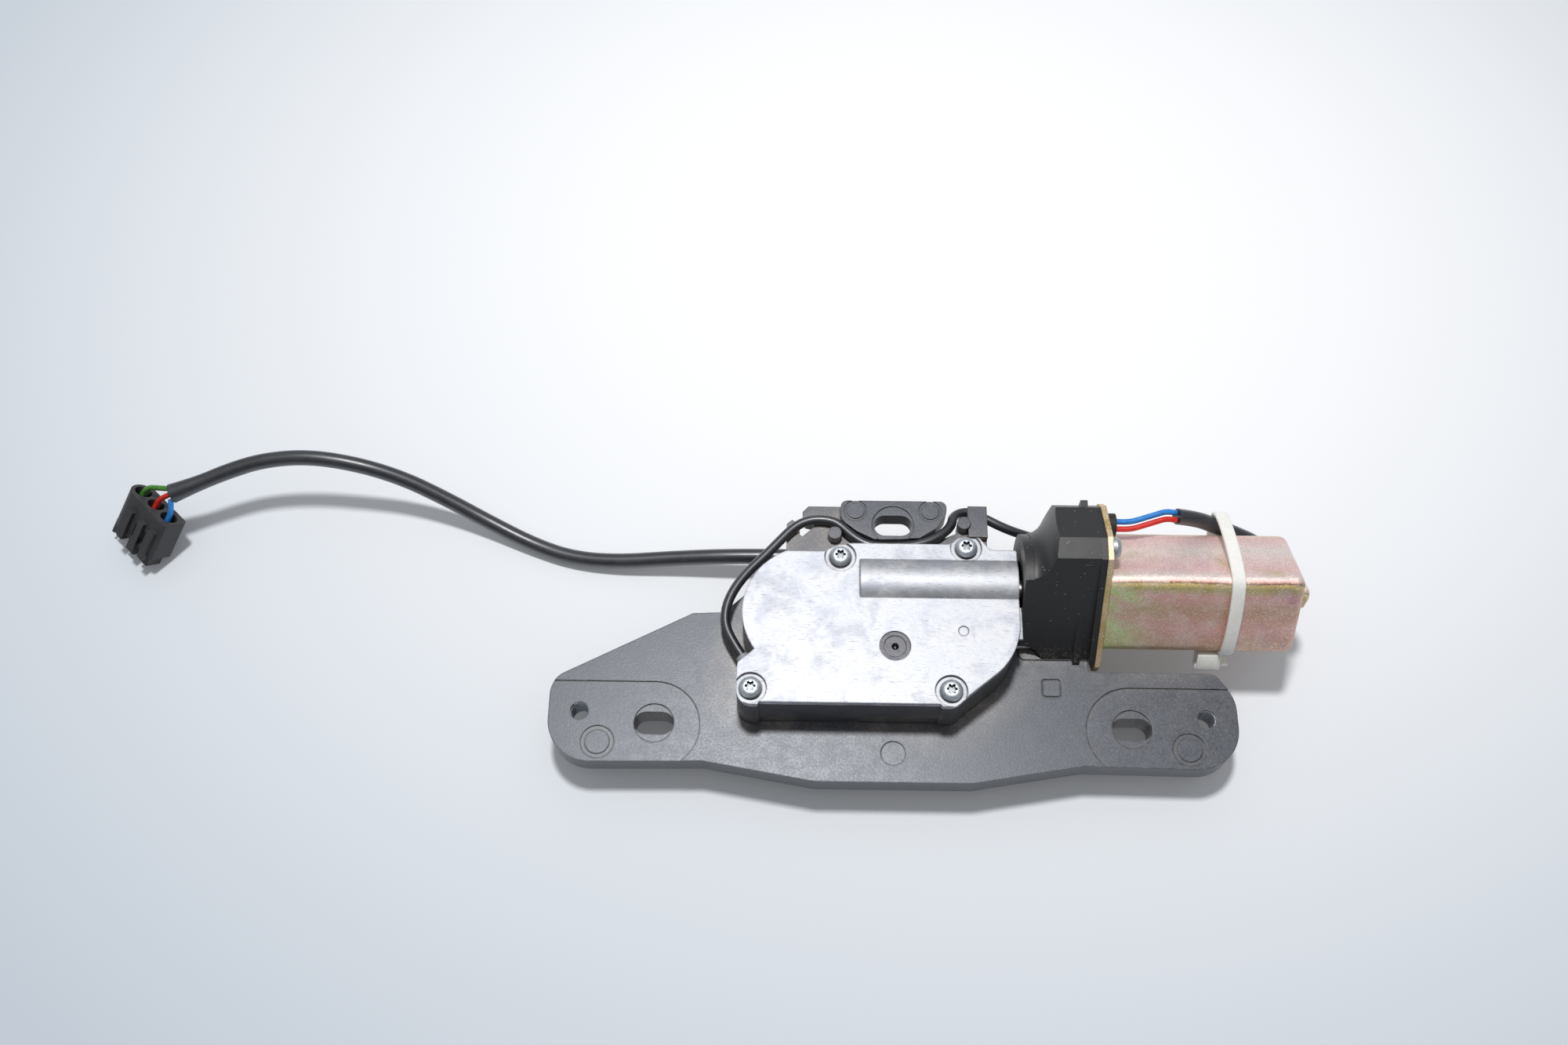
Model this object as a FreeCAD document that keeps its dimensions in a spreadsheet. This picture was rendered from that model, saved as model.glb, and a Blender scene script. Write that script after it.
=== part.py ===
# Powered tailgate lock: a die-cast plate with a two-stage worm gear box that slides a striker bow.
# Millimetres. X runs along the two wings, Y towards the rear tab, Z up through the gear cover.
# The origin is midway between the two wing slots, on the face that bolts to the body.
import FreeCAD, Part
import math
import os
import Sketcher

V = FreeCAD.Vector
doc = FreeCAD.newDocument("tailgate_lock")
sheet = doc.addObject("Spreadsheet::Sheet", "Sizes")
S = {}
nodes = {}

# Driving dimensions, each written once, in millimetres, degrees or counts
DRIVING = dict(
    # plate
    plate_top=11.5, pad_height=1.5, floor_wall=4.0,
    wing_reach=125.5, wing_front=-15.0, wing_back=16.3, wing_round=16.0, wing_back_round=9.0,
    wing_inner=68.7, belly_half=28.5, belly_front=-21.2, right_back=21.6, right_back_reach=118.5,
    shoulder_x=-74.2, shoulder_y=42.9, shoulder_in_x=-62.8, shoulder_in_y=43.4,
    neck_left=-39.6, neck_left_y=64.7, neck_right=36.4, rear_edge=68.0,
    step_x=72.4, step_y=25.4, ledge_y=30.5, ledge_rise=0.6, ledge_left=46.9,
    # wing fixings
    slot_x=86.8, slot_width=8.4, slot_run=14.4, slot_seat=14.6, seat_depth=0.5,
    stud_x=114.2, stud_y=4.2, stud_bore=6.8,
    mark_x=107.0, mark_y=-7.4, mark_outer=12.3, mark_inner=8.9, mark_depth=0.4,
    disc_y=-10.4, disc_size=9.0, square_x=58.4, square_y=15.1, recess_depth=0.5, recess_back=15.7, recess_round=16.8,
    boss_wall=4.0,
    # rear tab and cable arms
    shelf_top=16.5, shelf_back=71.5, tab_top=19.5, tab_left=-19.1, tab_right=21.2, tab_back=86.9,
    tab_shoulder=79.5, tab_front=70.7, tab_flat=8.3, tab_middle=0.7, tab_slot_y=76.7,
    tab_seat=16.0, tab_mark=10.0, tab_mark_inner=6.6, tab_mark_reach=14.2, tab_mark_y=82.7,
    post_radius=2.5, post_top=21.0, post_left_x=-21.3, post_left_y=72.6, post_right_x=27.5,
    post_right_y=77.3, arm_right_top=20.0, arm_right_base=15.6, arm_right_inner=29.2,
    arm_back=84.8,
    # gear box
    wall_top=28.9, gasket_thick=0.6, cover_thick=3.0, box_wall=3.0,
    lobe_radius=25.6, box_front=1.3, box_left=-56.4, box_right=45.0, box_back=63.0,
    cover_screw_seat=11.6, seat_drop=1.2,
    screw_head=8.0, screw_head_thick=3.1, screw_size=4.0, screw_reach=12.0, drive_size=3.9,
    worm_y=49.0, axis_lift=12.0, bulge_radius=11.8, bulge_left=-12.4, channel_radius=10.2,
    # gear train
    wheel_x=0.0, wheel_y=22.9, lobe_y=36.0,
    worm_module=1.25, wheel_teeth=28, wheel_width=8.0,
    gear_module=1.5, pinion_teeth=15, gear_teeth=28, gear_width=5.2, gear_lift=0.8,
    worm_start=-7.0, worm_stop=7.0, backlash=0.24, run_gap=0.05,
    wheel_shaft_radius=4.0, bush_wall=1.6, crank_radius=8.0, crank_throw=5.0, crank_pin=2.5,
    crank_top_radius=4.0, roller_wall=1.2, slot_gap=0.25, swing=90.0,
    # striker slide and collar
    collar_depth=10.5, collar_wall=4.0, slide_left=-36.0, slide_right=22.0, slide_front=18.0,
    slide_back=50.0, slide_thick=4.7, slide_gap=0.2, ledge_z=2.4, strip_thick=2.6, strip_width=9.8,
    channel_front=-8.0, channel_back=60.0, rod_size=8.0, rod_sink=1.0, bow_half=13.0,
    bow_front=-1.0, bow_bend=8.0, bow_back=44.0,
    # motor, flange and adaptor
    motor_start=76.3, motor_length=69.7, motor_side=33.0, motor_round=4.5, motor_lean=13.0,
    can_wall=1.4, end_round=3.5, end_boss=5.2, end_boss_reach=6.6, flange_thick=2.0,
    adaptor_start=46.2, adaptor_ring=20.6, adaptor_ring_thick=3.2, adaptor_flare=36.0,
    adaptor_inner=11.0, rim_thick=2.2,
    motor_shaft_radius=2.5, worm_shaft_radius=3.5, core_radius=10.6, core_start=92.0,
    core_length=34.0, magnet_gap=0.9, magnet_thick=2.8, magnet_start=88.0, magnet_length=42.0,
    commutator_radius=6.0, commutator_length=10.0, coupling_radius=7.5, coupling_start=50.0,
    coupling_length=15.0,
    # wiring
    sleeve_size=6.0, cable_size=3.7, wire_size=2.1, tie_x=119.0, tie_width=4.8, tie_thick=1.3,
    grommet_radius=4.4, grommet_thick=4.2,
    # plug housing
    plug_length=23.0, plug_width=25.4, plug_height=10.8, plug_prong=6.0, plug_pitch=8.1,
    plug_cavity=6.6, plug_x=-285.8, plug_y=86.9, plug_z=7.9, plug_turn=227.4, plug_dip=43.0,
)
for row, (alias, value) in enumerate(DRIVING.items(), start=1):
    sheet.set(f"A{row}", alias.replace("_", " "))
    sheet.set(f"B{row}", str(value))
    sheet.setAlias(f"B{row}", alias)
    S[alias] = value
doc.recompute()


def tied(text):
    """An expression on the sheet: every driving name in the text gets its sheet prefix."""
    words = []
    word = ""
    for letter in text + " ":
        if letter.isalnum() or letter in "_.":
            word += letter
            continue
        words.append("Sizes." + word if word in S else word)
        words.append(letter)
        word = ""
    return "".join(words).strip()


def val(text):
    """The present value of an expression on the sheet."""
    if isinstance(text, (int, float)):
        return float(text)
    return float(sheet.evalExpression(tied(text).replace("Sizes.", "")))


# Worked-out sizes that several pieces share, as expressions on the sheet
AXIS_Z = "plate_top + axis_lift"
COVER_BASE = "wall_top + gasket_thick"
COVER_TOP = "wall_top + gasket_thick + cover_thick"
CENTRES = val("(pinion_teeth + gear_teeth) * gear_module / 2")
LOBE_X = val("wheel_x") - math.sqrt(CENTRES ** 2 - val("lobe_y - wheel_y") ** 2)
LOBE_Y = val("lobe_y")
WHEEL = (val("wheel_x"), val("wheel_y"))
WORM_PITCH_RADIUS = val("worm_y - wheel_y - worm_module * wheel_teeth / 2")
FLOOR_Z = "plate_top - floor_wall"
SLIDE_TOP = "plate_top - floor_wall - slide_gap"
SADDLE_BASE = "plate_top + axis_lift - wheel_shaft_radius - 0.7"
SADDLE_ROOM = [("worm_start - 8.4", "worm_y - 6.4"), ("worm_start - 1", "worm_y - 6.4"),
               ("worm_start - 1", "worm_y + 6.4"), ("worm_start - 8.4", "worm_y + 6.4")]
COVER_SCREWS = [(-51.4, 6.4), (19.6, 6.3), (-19.6, 57.6), (26.6, 61.7)]


# Building blocks
def body(name):
    new = doc.addObject("PartDesign::Body", name)
    new.Label = name
    nodes[name] = new
    return new


def plane(owner, role):
    return [part for part in owner.Origin.OriginFeatures if part.Role == role][0]


def sketch(owner, name, role="XY_Plane", height=0):
    new = owner.newObject("Sketcher::SketchObject", name)
    new.AttachmentSupport = [(plane(owner, role), "")]
    new.MapMode = "FlatFace"
    if isinstance(height, str):
        new.setExpression("AttachmentOffset.Base.z", tied(height))
    elif height:
        new.AttachmentOffset = FreeCAD.Placement(V(0, 0, height), FreeCAD.Rotation())
    return new


def fix(new, kind, index, point, value):
    """Ties one coordinate of a sketch point to a number or an expression."""
    number = val(value)
    if abs(number) < 1e-9:
        axis = -2 if kind == "DistanceX" else -1
        new.addConstraint(Sketcher.Constraint("PointOnObject", index, point, axis))
        return
    key = new.addConstraint(Sketcher.Constraint(kind, index, point, number))
    if isinstance(value, str):
        new.setExpression(f"Constraints[{key}]", tied(value))


def arc(start, end, radius):
    """The arc from start to end that turns left round its centre."""
    chord = end - start
    left = V(-chord.y, chord.x, 0).normalize()
    centre = (start + end) * 0.5 + left * math.sqrt(radius ** 2 - chord.Length ** 2 / 4)
    begin = math.atan2(start.y - centre.y, start.x - centre.x)
    stop = math.atan2(end.y - centre.y, end.x - centre.x)
    if stop < begin:
        stop += 2 * math.pi
    return Part.ArcOfCircle(Part.Circle(centre, V(0, 0, 1), radius), begin, stop)


def polygon(new, points):
    """A closed outline through the points: a point with a third value starts an arc of that radius."""
    first = new.GeometryCount
    count = len(points)
    spots = [V(val(point[0]), val(point[1]), 0) for point in points]
    for i, point in enumerate(points):
        follow = spots[(i + 1) % count]
        if len(point) > 2:
            new.addGeometry(arc(spots[i], follow, val(point[2])), False)
        else:
            new.addGeometry(Part.LineSegment(spots[i], follow), False)
    for i in range(count):
        new.addConstraint(Sketcher.Constraint("Coincident", first + i, 2, first + (i + 1) % count, 1))
    for i, point in enumerate(points):
        fix(new, "DistanceX", first + i, 1, point[0])
        fix(new, "DistanceY", first + i, 1, point[1])
        if len(point) > 2:
            key = new.addConstraint(Sketcher.Constraint("Radius", first + i, val(point[2])))
            new.setExpression(f"Constraints[{key}]", tied(str(point[2])))
    return new


def rounded_square(new, x, y, half, corner):
    """A square with rounded corners, half its side each way from its middle."""
    near = f"{half} - {corner}"
    return polygon(new, [
        (f"{x} - ({near})", f"{y} - {half}"), (f"{x} + ({near})", f"{y} - {half}", corner),
        (f"{x} + {half}", f"{y} - ({near})"), (f"{x} + {half}", f"{y} + ({near})", corner),
        (f"{x} + ({near})", f"{y} + {half}"), (f"{x} - ({near})", f"{y} + {half}", corner),
        (f"{x} - {half}", f"{y} + ({near})"), (f"{x} - {half}", f"{y} - ({near})", corner)])


def circle(new, x, y, radius):
    index = new.addGeometry(Part.Circle(V(val(x), val(y), 0), V(0, 0, 1), val(radius)), False)
    fix(new, "DistanceX", index, 3, x)
    fix(new, "DistanceY", index, 3, y)
    key = new.addConstraint(Sketcher.Constraint("Radius", index, val(radius)))
    if isinstance(radius, str):
        new.setExpression(f"Constraints[{key}]", tied(radius))
    return new


def slot(new, x, y, width, run):
    """A slot along X: width across, run from end to end."""
    half = val(run) / 2 - val(width) / 2
    radius = val(width) / 2
    cx, cy = val(x), val(y)
    first = new.GeometryCount
    new.addGeometry(Part.LineSegment(V(cx - half, cy + radius, 0), V(cx + half, cy + radius, 0)), False)
    new.addGeometry(Part.ArcOfCircle(Part.Circle(V(cx + half, cy, 0), V(0, 0, 1), radius),
                                     -math.pi / 2, math.pi / 2), False)
    new.addGeometry(Part.LineSegment(V(cx + half, cy - radius, 0), V(cx - half, cy - radius, 0)), False)
    new.addGeometry(Part.ArcOfCircle(Part.Circle(V(cx - half, cy, 0), V(0, 0, 1), radius),
                                     math.pi / 2, 3 * math.pi / 2), False)
    new.addConstraint(Sketcher.Constraint("Tangent", first, 2, first + 1, 2))
    new.addConstraint(Sketcher.Constraint("Tangent", first + 1, 1, first + 2, 1))
    new.addConstraint(Sketcher.Constraint("Tangent", first + 2, 2, first + 3, 2))
    new.addConstraint(Sketcher.Constraint("Tangent", first + 3, 1, first, 1))
    fix(new, "DistanceX", first + 1, 3, f"{x} + ({run}) / 2 - ({width}) / 2")
    fix(new, "DistanceX", first + 3, 3, f"{x} - ({run}) / 2 + ({width}) / 2")
    fix(new, "DistanceY", first + 1, 3, y)
    key = new.addConstraint(Sketcher.Constraint("Radius", first + 1, radius))
    new.setExpression(f"Constraints[{key}]", tied(f"({width}) / 2"))
    return new


def pad(owner, profile, length, down=False):
    new = owner.newObject("PartDesign::Pad", profile.Name + "_pad")
    new.Profile = profile
    if isinstance(length, str):
        new.setExpression("Length", tied(length))
    else:
        new.Length = length
    new.Reversed = down
    doc.recompute()
    return new


def pocket(owner, profile, length, up=False):
    """Cuts the profile down, or up, and checks that it took something away."""
    before = owner.Tip.Shape.Volume
    new = owner.newObject("PartDesign::Pocket", profile.Name + "_cut")
    new.Profile = profile
    if isinstance(length, str):
        new.setExpression("Length", tied(length))
    else:
        new.Length = length
    new.Reversed = up
    doc.recompute()
    if not new.Shape.Volume < before - 1e-6:
        raise RuntimeError(f"{profile.Name} cuts nothing")
    return new


def round_corners(owner, name, radius, spots):
    """Fillets the edges along Z that stand on the spots."""
    base = owner.Tip
    picked = []
    for number, edge in enumerate(base.Shape.Edges, start=1):
        ends = [vertex.Point for vertex in edge.Vertexes]
        if len(ends) < 2 or abs(ends[0].z - ends[1].z) < 0.5:
            continue
        if (ends[0] - ends[1]).cross(V(0, 0, 1)).Length > 1e-6:
            continue
        if any(math.hypot(ends[0].x - val(x), ends[0].y - val(y)) < 0.02 for x, y in spots):
            picked.append(f"Edge{number}")
    new = owner.newObject("PartDesign::Fillet", name)
    new.Base = (base, picked)
    new.setExpression("Radius", tied(radius))
    doc.recompute()
    return new


def cylinder(name, radius, length, x=0, y=0, z=0, bore=None, axis="Z", keep=True):
    """A Part cylinder, or a tube when a bore radius is given, standing at x, y, z along its axis."""
    new = doc.addObject("Part::Cylinder", name if bore is None else name + "_outer")
    new.setExpression("Radius", tied(str(radius)))
    new.setExpression("Height", tied(str(length)))
    turn = FreeCAD.Rotation() if axis == "Z" else FreeCAD.Rotation(V(0, 1, 0), 90)
    new.Placement = FreeCAD.Placement(V(val(x), val(y), val(z)), turn)
    if bore is not None:
        hole = doc.addObject("Part::Cylinder", name + "_bore")
        hole.setExpression("Radius", tied(str(bore)))
        hole.setExpression("Height", tied(f"({length}) + 2"))
        hole.Placement = FreeCAD.Placement(V(val(x), val(y), val(z)) - turn.multVec(V(0, 0, 1)), turn)
        cut = doc.addObject("Part::Cut", name)
        cut.Base = new
        cut.Tool = hole
        new = cut
    if keep:
        new.Label = name
        nodes[name] = new
    return new


def feature(name, shape):
    new = doc.addObject("Part::Feature", name)
    new.Shape = shape
    new.Label = name
    nodes[name] = new
    return new


def rod(start, end, radius):
    """A plain cylinder between two points."""
    start, end = V(*start), V(*end)
    return Part.makeCylinder(radius, (end - start).Length, start, end - start)


def tube(name, points, radius):
    """A cord: straight runs joined by tangent arcs, as large as the runs allow."""
    spots = [V(*point) for point in points]
    edges = []
    radii = []
    last = spots[0]
    for before, corner, after in zip(spots, spots[1:], spots[2:]):
        come = (corner - before).normalize()
        leave = (after - corner).normalize()
        turn = come.getAngle(leave)
        reach = 0.45 * min((corner - before).Length, (after - corner).Length)
        radii.append(reach / math.tan(turn / 2))
        start = corner - come * reach
        end = corner + leave * reach
        middle = corner + (leave - come).normalize() * (radii[-1] / math.cos(turn / 2) - radii[-1])
        edges.append(Part.LineSegment(last, start).toShape())
        edges.append(Part.Arc(start, middle, end).toShape())
        last = end
    edges.append(Part.LineSegment(last, spots[-1]).toShape())
    path = Part.Wire(edges)
    ring = Part.Wire(Part.makeCircle(radius, spots[0], spots[1] - spots[0]))
    shape = path.makePipeShell([ring], True, False)
    wanted = math.pi * radius ** 2 * path.Length
    print(name, "length", round(path.Length, 1), "volume ratio", round(shape.Volume / wanted, 4),
          "least radius", round(min(radii), 1), "radii", [round(value) for value in radii])
    return feature(name, shape)


# Die-cast base: plate, collar, gear box walls, rear tab and cable arms
PLATE = [("-wing_reach", "wing_front"), ("-wing_reach", "wing_back"), ("shoulder_x", "shoulder_y"),
         ("shoulder_in_x", "shoulder_in_y"), ("neck_left", "neck_left_y"),
         ("neck_left", "rear_edge"), ("neck_right", "rear_edge"), ("box_right + 0.5", "rear_edge - 2"),
         ("box_right + 0.5", "ledge_y"), ("step_x", "ledge_y"), ("step_x", "right_back"),
         ("right_back_reach", "right_back"), ("wing_reach", "wing_back - 4"),
         ("wing_reach", "wing_front"), ("wing_inner", "wing_front + 0.8"),
         ("belly_half", "belly_front"), ("-belly_half", "belly_front"),
         ("-wing_inner", "wing_front + 0.8")]
BOX = [("box_left", 13.0), ("box_left", 0.3), (-48.8, 0.3), (-48.2, "box_front"),
       (15.6, "box_front"), (16.4, 0.4), (21.0, 0.4), (25.2, 4.2), (36.4, 13.3, 26.0),
       ("box_right", 33.0), ("box_right", 60.9), (35.4, 60.8), (31.4, 65.9), (24.0, 66.3),
       (20.6, "box_back"), (-14.2, "box_back"), (-20.0, 62.8), (-23.6, 61.2), (-25.2, 59.6),
       (-39.4, 59.6, "lobe_radius"), (-50.26, 21.07), (-56.2, 15.9)]
BOX_ROUNDS = [("5.5", [("box_left", 0.3)]), ("5", [(21.0, 0.4)]), ("2.5", [(31.4, 65.9), (24.0, 66.3)]),
              ("1.5", [(20.6, "box_back"), (35.4, 60.8)]), ("1", [("box_right", 60.9)]),
              ("1.8", [(-56.2, 15.9)])]


def box_corners(owner):
    """Rounds the corners of the gear box outline, the same on the walls, the gasket and the cover."""
    for radius, spots in BOX_ROUNDS:
        round_corners(owner, "box_corner", radius, spots)


def base_casting():
    base = body("base_casting")
    pad(base, polygon(sketch(base, "plate_outline", height="pad_height"), PLATE),
        "plate_top - pad_height")
    round_corners(base, "wing_ends", "wing_round",
                  [("-wing_reach", "wing_front"), ("wing_reach", "wing_front")])
    round_corners(base, "wing_backs", "wing_back_round", [("-wing_reach", "wing_back")])
    round_corners(base, "right_wing_back", "14", [("wing_reach", "wing_back - 4")])
    round_corners(base, "right_wing_corner", "3", [("right_back_reach", "right_back")])
    pad(base, polygon(sketch(base, "box_outline", height="plate_top - 1"), BOX),
        "wall_top - plate_top + 1")
    box_corners(base)
    ledge = sketch(base, "ledge_outline", height="plate_top - 1")
    polygon(ledge, [("ledge_left", "step_y + 2.1"), ("ledge_left + 1.5", "step_y + 0.6"),
                    ("step_x", "step_y + 0.6"), ("step_x", "ledge_y"), ("ledge_left", "ledge_y")])
    pad(base, ledge, "ledge_rise + 1")
    shelf = sketch(base, "shelf_outline", height="plate_top - floor_wall")
    polygon(shelf, [("neck_left", 60.0), ("neck_left", 78.0), (-37.6, 79.8), (-35.4, 78.6),
                    (-34.6, 76.4), (-35.6, 74.6), (-33.6, 72.8), (-29.2, 77.0), (-29.6, 79.8),
                    (-32.6, 80.4), (-33.6, 83.2), (-31.4, 85.6), ("tab_left + 3", 85.6),
                    ("tab_left + 3", "tab_shoulder"), (-13.0, "shelf_back"), (15.0, "shelf_back"),
                    (19.0, 72.2), ("post_right_x - 1.9", 75.2), ("post_right_x - 1.9", 80.2),
                    ("arm_right_inner", 80.2), ("arm_right_inner", 76.0),
                    ("neck_right", 74.0), ("neck_right", 60.0)])
    pad(base, shelf, "shelf_top - plate_top + floor_wall")
    arm = sketch(base, "arm_outline", height="arm_right_base")
    polygon(arm, [("arm_right_inner", 72.0), ("arm_right_inner", "arm_back"),
                  ("neck_right", "arm_back"), ("neck_right", 72.0)])
    pad(base, arm, "arm_right_top - arm_right_base")
    tab = sketch(base, "tab_outline", height="plate_top")
    polygon(tab, [("tab_left + 2.6", "tab_back", 2.6), ("tab_left", "tab_back - 2.6"),
                  ("tab_left", "tab_shoulder + 1.4", 6), ("tab_left + 1.7", "tab_shoulder - 2"),
                  (-12.8, 73.9), ("-tab_flat + 2", "tab_front + 0.1"), ("tab_flat + 2.4", "tab_front + 0.7"),
                  (17.0, 75.6), ("tab_right - 0.6", "tab_shoulder + 1.2", 9),
                  ("tab_right", "tab_back - 2.6", 2.6), ("tab_right - 2.6", "tab_back")])
    pad(base, tab, "tab_top - plate_top")
    posts = sketch(base, "posts_outline", height="shelf_top - 1")
    circle(posts, "post_left_x", "post_left_y", "post_radius")
    circle(posts, "post_right_x", "post_right_y", "post_radius")
    pad(base, posts, "post_top - shelf_top + 1")
    collar = sketch(base, "collar_outline", height="-collar_depth")
    collar_box = ("slide_left - slide_gap - strip_width + 4", "slide_right + slide_gap + strip_width - 4")
    polygon(collar, [(f"{collar_box[0]} - collar_wall", "channel_front - collar_wall"),
                     (f"{collar_box[1]} + collar_wall", "channel_front - collar_wall"),
                     (f"{collar_box[1]} + collar_wall", "channel_back + collar_wall"),
                     (f"{collar_box[0]} - collar_wall", "channel_back + collar_wall")])
    pad(base, collar, "collar_depth + pad_height + 1")
    pads = sketch(base, "mount_pads")
    for side in ("-", ""):
        slot(pads, f"{side}slot_x", 0, "slot_width + 2 * boss_wall", "slot_run + 2 * boss_wall")
        circle(pads, f"{side}stud_x", "stud_y", "stud_bore / 2 + boss_wall - 0.6")
    pad(base, pads, "pad_height + 1")
    # Slide channel, cut up from the collar in two steps
    wide = sketch(base, "channel_wide", height="-collar_depth")
    polygon(wide, [(collar_box[0], "channel_front"), (collar_box[1], "channel_front"),
                   (collar_box[1], "channel_back"), (collar_box[0], "channel_back")])
    pocket(base, wide, "collar_depth + ledge_z", up=True)
    guide = sketch(base, "channel_guide", height="-collar_depth")
    polygon(guide, [("slide_left - slide_gap", "channel_front"),
                    ("slide_right + slide_gap", "channel_front"),
                    ("slide_right + slide_gap", "channel_back"),
                    ("slide_left - slide_gap", "channel_back")])
    pocket(base, guide, f"collar_depth + {FLOOR_Z}", up=True)
    # Gear cavity: output gear, worm wheel, switch and worm channel
    gears = sketch(base, "gear_cavity", height="wall_top")
    circle(gears, LOBE_X, LOBE_Y, f"(gear_teeth + 2) * gear_module / 2 + 0.6")
    pocket(base, gears, "wall_top - plate_top")
    wheel = sketch(base, "wheel_cavity", height="wall_top")
    circle(wheel, "wheel_x", "wheel_y", "(wheel_teeth + 2) * worm_module / 2 + 0.7")
    pocket(base, wheel, "wall_top - plate_top")
    switch = sketch(base, "switch_cavity", height="wall_top")
    polygon(switch, [(-46.4, 6.2), (-31.6, 6.2), (-31.6, 20.0), (-46.4, 20.0)])
    pocket(base, switch, "wall_top - plate_top")
    worm = sketch(base, "worm_channel", role="YZ_Plane", height="worm_start - 2.2")
    circle(worm, "worm_y", AXIS_Z, "channel_radius")
    pocket(base, worm, "box_right - box_wall - worm_start + 2.2", up=True)
    saddle = sketch(base, "saddle_cavity", height="wall_top")
    polygon(saddle, SADDLE_ROOM)
    pocket(base, saddle, f"wall_top - ({SADDLE_BASE}) + 0.5")
    outlet = sketch(base, "worm_outlet", role="YZ_Plane", height="box_right - box_wall - 1")
    circle(outlet, "worm_y", AXIS_Z, "worm_shaft_radius + bush_wall")
    pocket(base, outlet, "box_wall + 3", up=True)
    # Shaft holes in the floor, cut down from the cavity
    bores = sketch(base, "floor_bores", height="plate_top")
    circle(bores, LOBE_X, LOBE_Y, "crank_radius + bush_wall")
    circle(bores, "wheel_x", "wheel_y", "wheel_shaft_radius + bush_wall")
    pocket(base, bores, "floor_wall + 1")
    screws = sketch(base, "cover_screw_holes", height="wall_top")
    for x, y in COVER_SCREWS:
        circle(screws, x, y, "screw_size / 2")
    pocket(base, screws, "screw_reach")
    # Wing slots, threaded holes, seats and cast marks
    recess = sketch(base, "wing_recess_ends", height="plate_top")
    curves = sketch(base, "wing_recess_curves", height="plate_top")
    for side in ("-", ""):
        circle(curves, f"{side}slot_x", "recess_back - recess_round", "recess_round")
        polygon(recess, [(f"{side}(wing_reach + 5)", "recess_back"), (f"{side}slot_x", "recess_back"),
                         (f"{side}slot_x", "wing_front - 3"), (f"{side}(wing_reach + 5)", "wing_front - 3")])
    pocket(base, recess, "recess_depth")
    pocket(base, curves, "recess_depth")
    through = sketch(base, "wing_holes", height="plate_top")
    marks = sketch(base, "wing_marks", height="plate_top")
    seats = sketch(base, "wing_seats", height="plate_top")
    for side in ("-", ""):
        slot(through, f"{side}slot_x", 0, "slot_width", "slot_run")
        circle(through, f"{side}stud_x", "stud_y", "stud_bore / 2")
        circle(seats, f"{side}slot_x", 0, "slot_seat / 2")
        circle(marks, f"{side}mark_x", "mark_y", "mark_outer / 2")
        circle(marks, f"{side}mark_x", "mark_y", "mark_inner / 2")
    pocket(base, seats, "seat_depth + recess_depth")
    pocket(base, marks, "mark_depth + recess_depth")
    pocket(base, through, "plate_top + 1")
    square = sketch(base, "square_mark", height="plate_top")
    rounded_square(square, "square_x", "square_y", "3.6", "1.4")
    rounded_square(square, "square_x", "square_y", "3", "0.9")
    pocket(base, square, "mark_depth")
    disc = sketch(base, "front_disc", height="plate_top")
    circle(disc, 0, "disc_y", "disc_size / 2")
    pocket(base, disc, "mark_depth")
    tab_seat = sketch(base, "tab_seat", height="tab_top")
    circle(tab_seat, "tab_middle", "tab_slot_y", "tab_seat / 2")
    pocket(base, tab_seat, "seat_depth")
    tab_slot = sketch(base, "tab_slot", height="tab_top")
    slot(tab_slot, "tab_middle", "tab_slot_y", "slot_width", "slot_run")
    pocket(base, tab_slot, "tab_top - plate_top + floor_wall + 1")
    tab_marks = sketch(base, "tab_marks", height="tab_top")
    for side in ("-", "+"):
        circle(tab_marks, f"tab_middle {side} tab_mark_reach", "tab_mark_y", "tab_mark / 2 - 0.6")
        circle(tab_marks, f"tab_middle {side} tab_mark_reach", "tab_mark_y", "tab_mark_inner / 2")
    pocket(base, tab_marks, "mark_depth")
    strips = sketch(base, "strip_screw_holes", height="ledge_z")
    for x, y in STRIP_SCREWS:
        circle(strips, x, y, "1.5")
    pocket(base, strips, "5", up=True)
    return base


STRIP_INSET = "(strip_width - 4) / 2"
STRIP_SCREWS = [(f"slide_left - slide_gap - {STRIP_INSET}", 2.0),
                (f"slide_left - slide_gap - {STRIP_INSET}", 50.0),
                (f"slide_right + slide_gap + {STRIP_INSET}", 2.0),
                (f"slide_right + slide_gap + {STRIP_INSET}", 50.0)]


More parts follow.
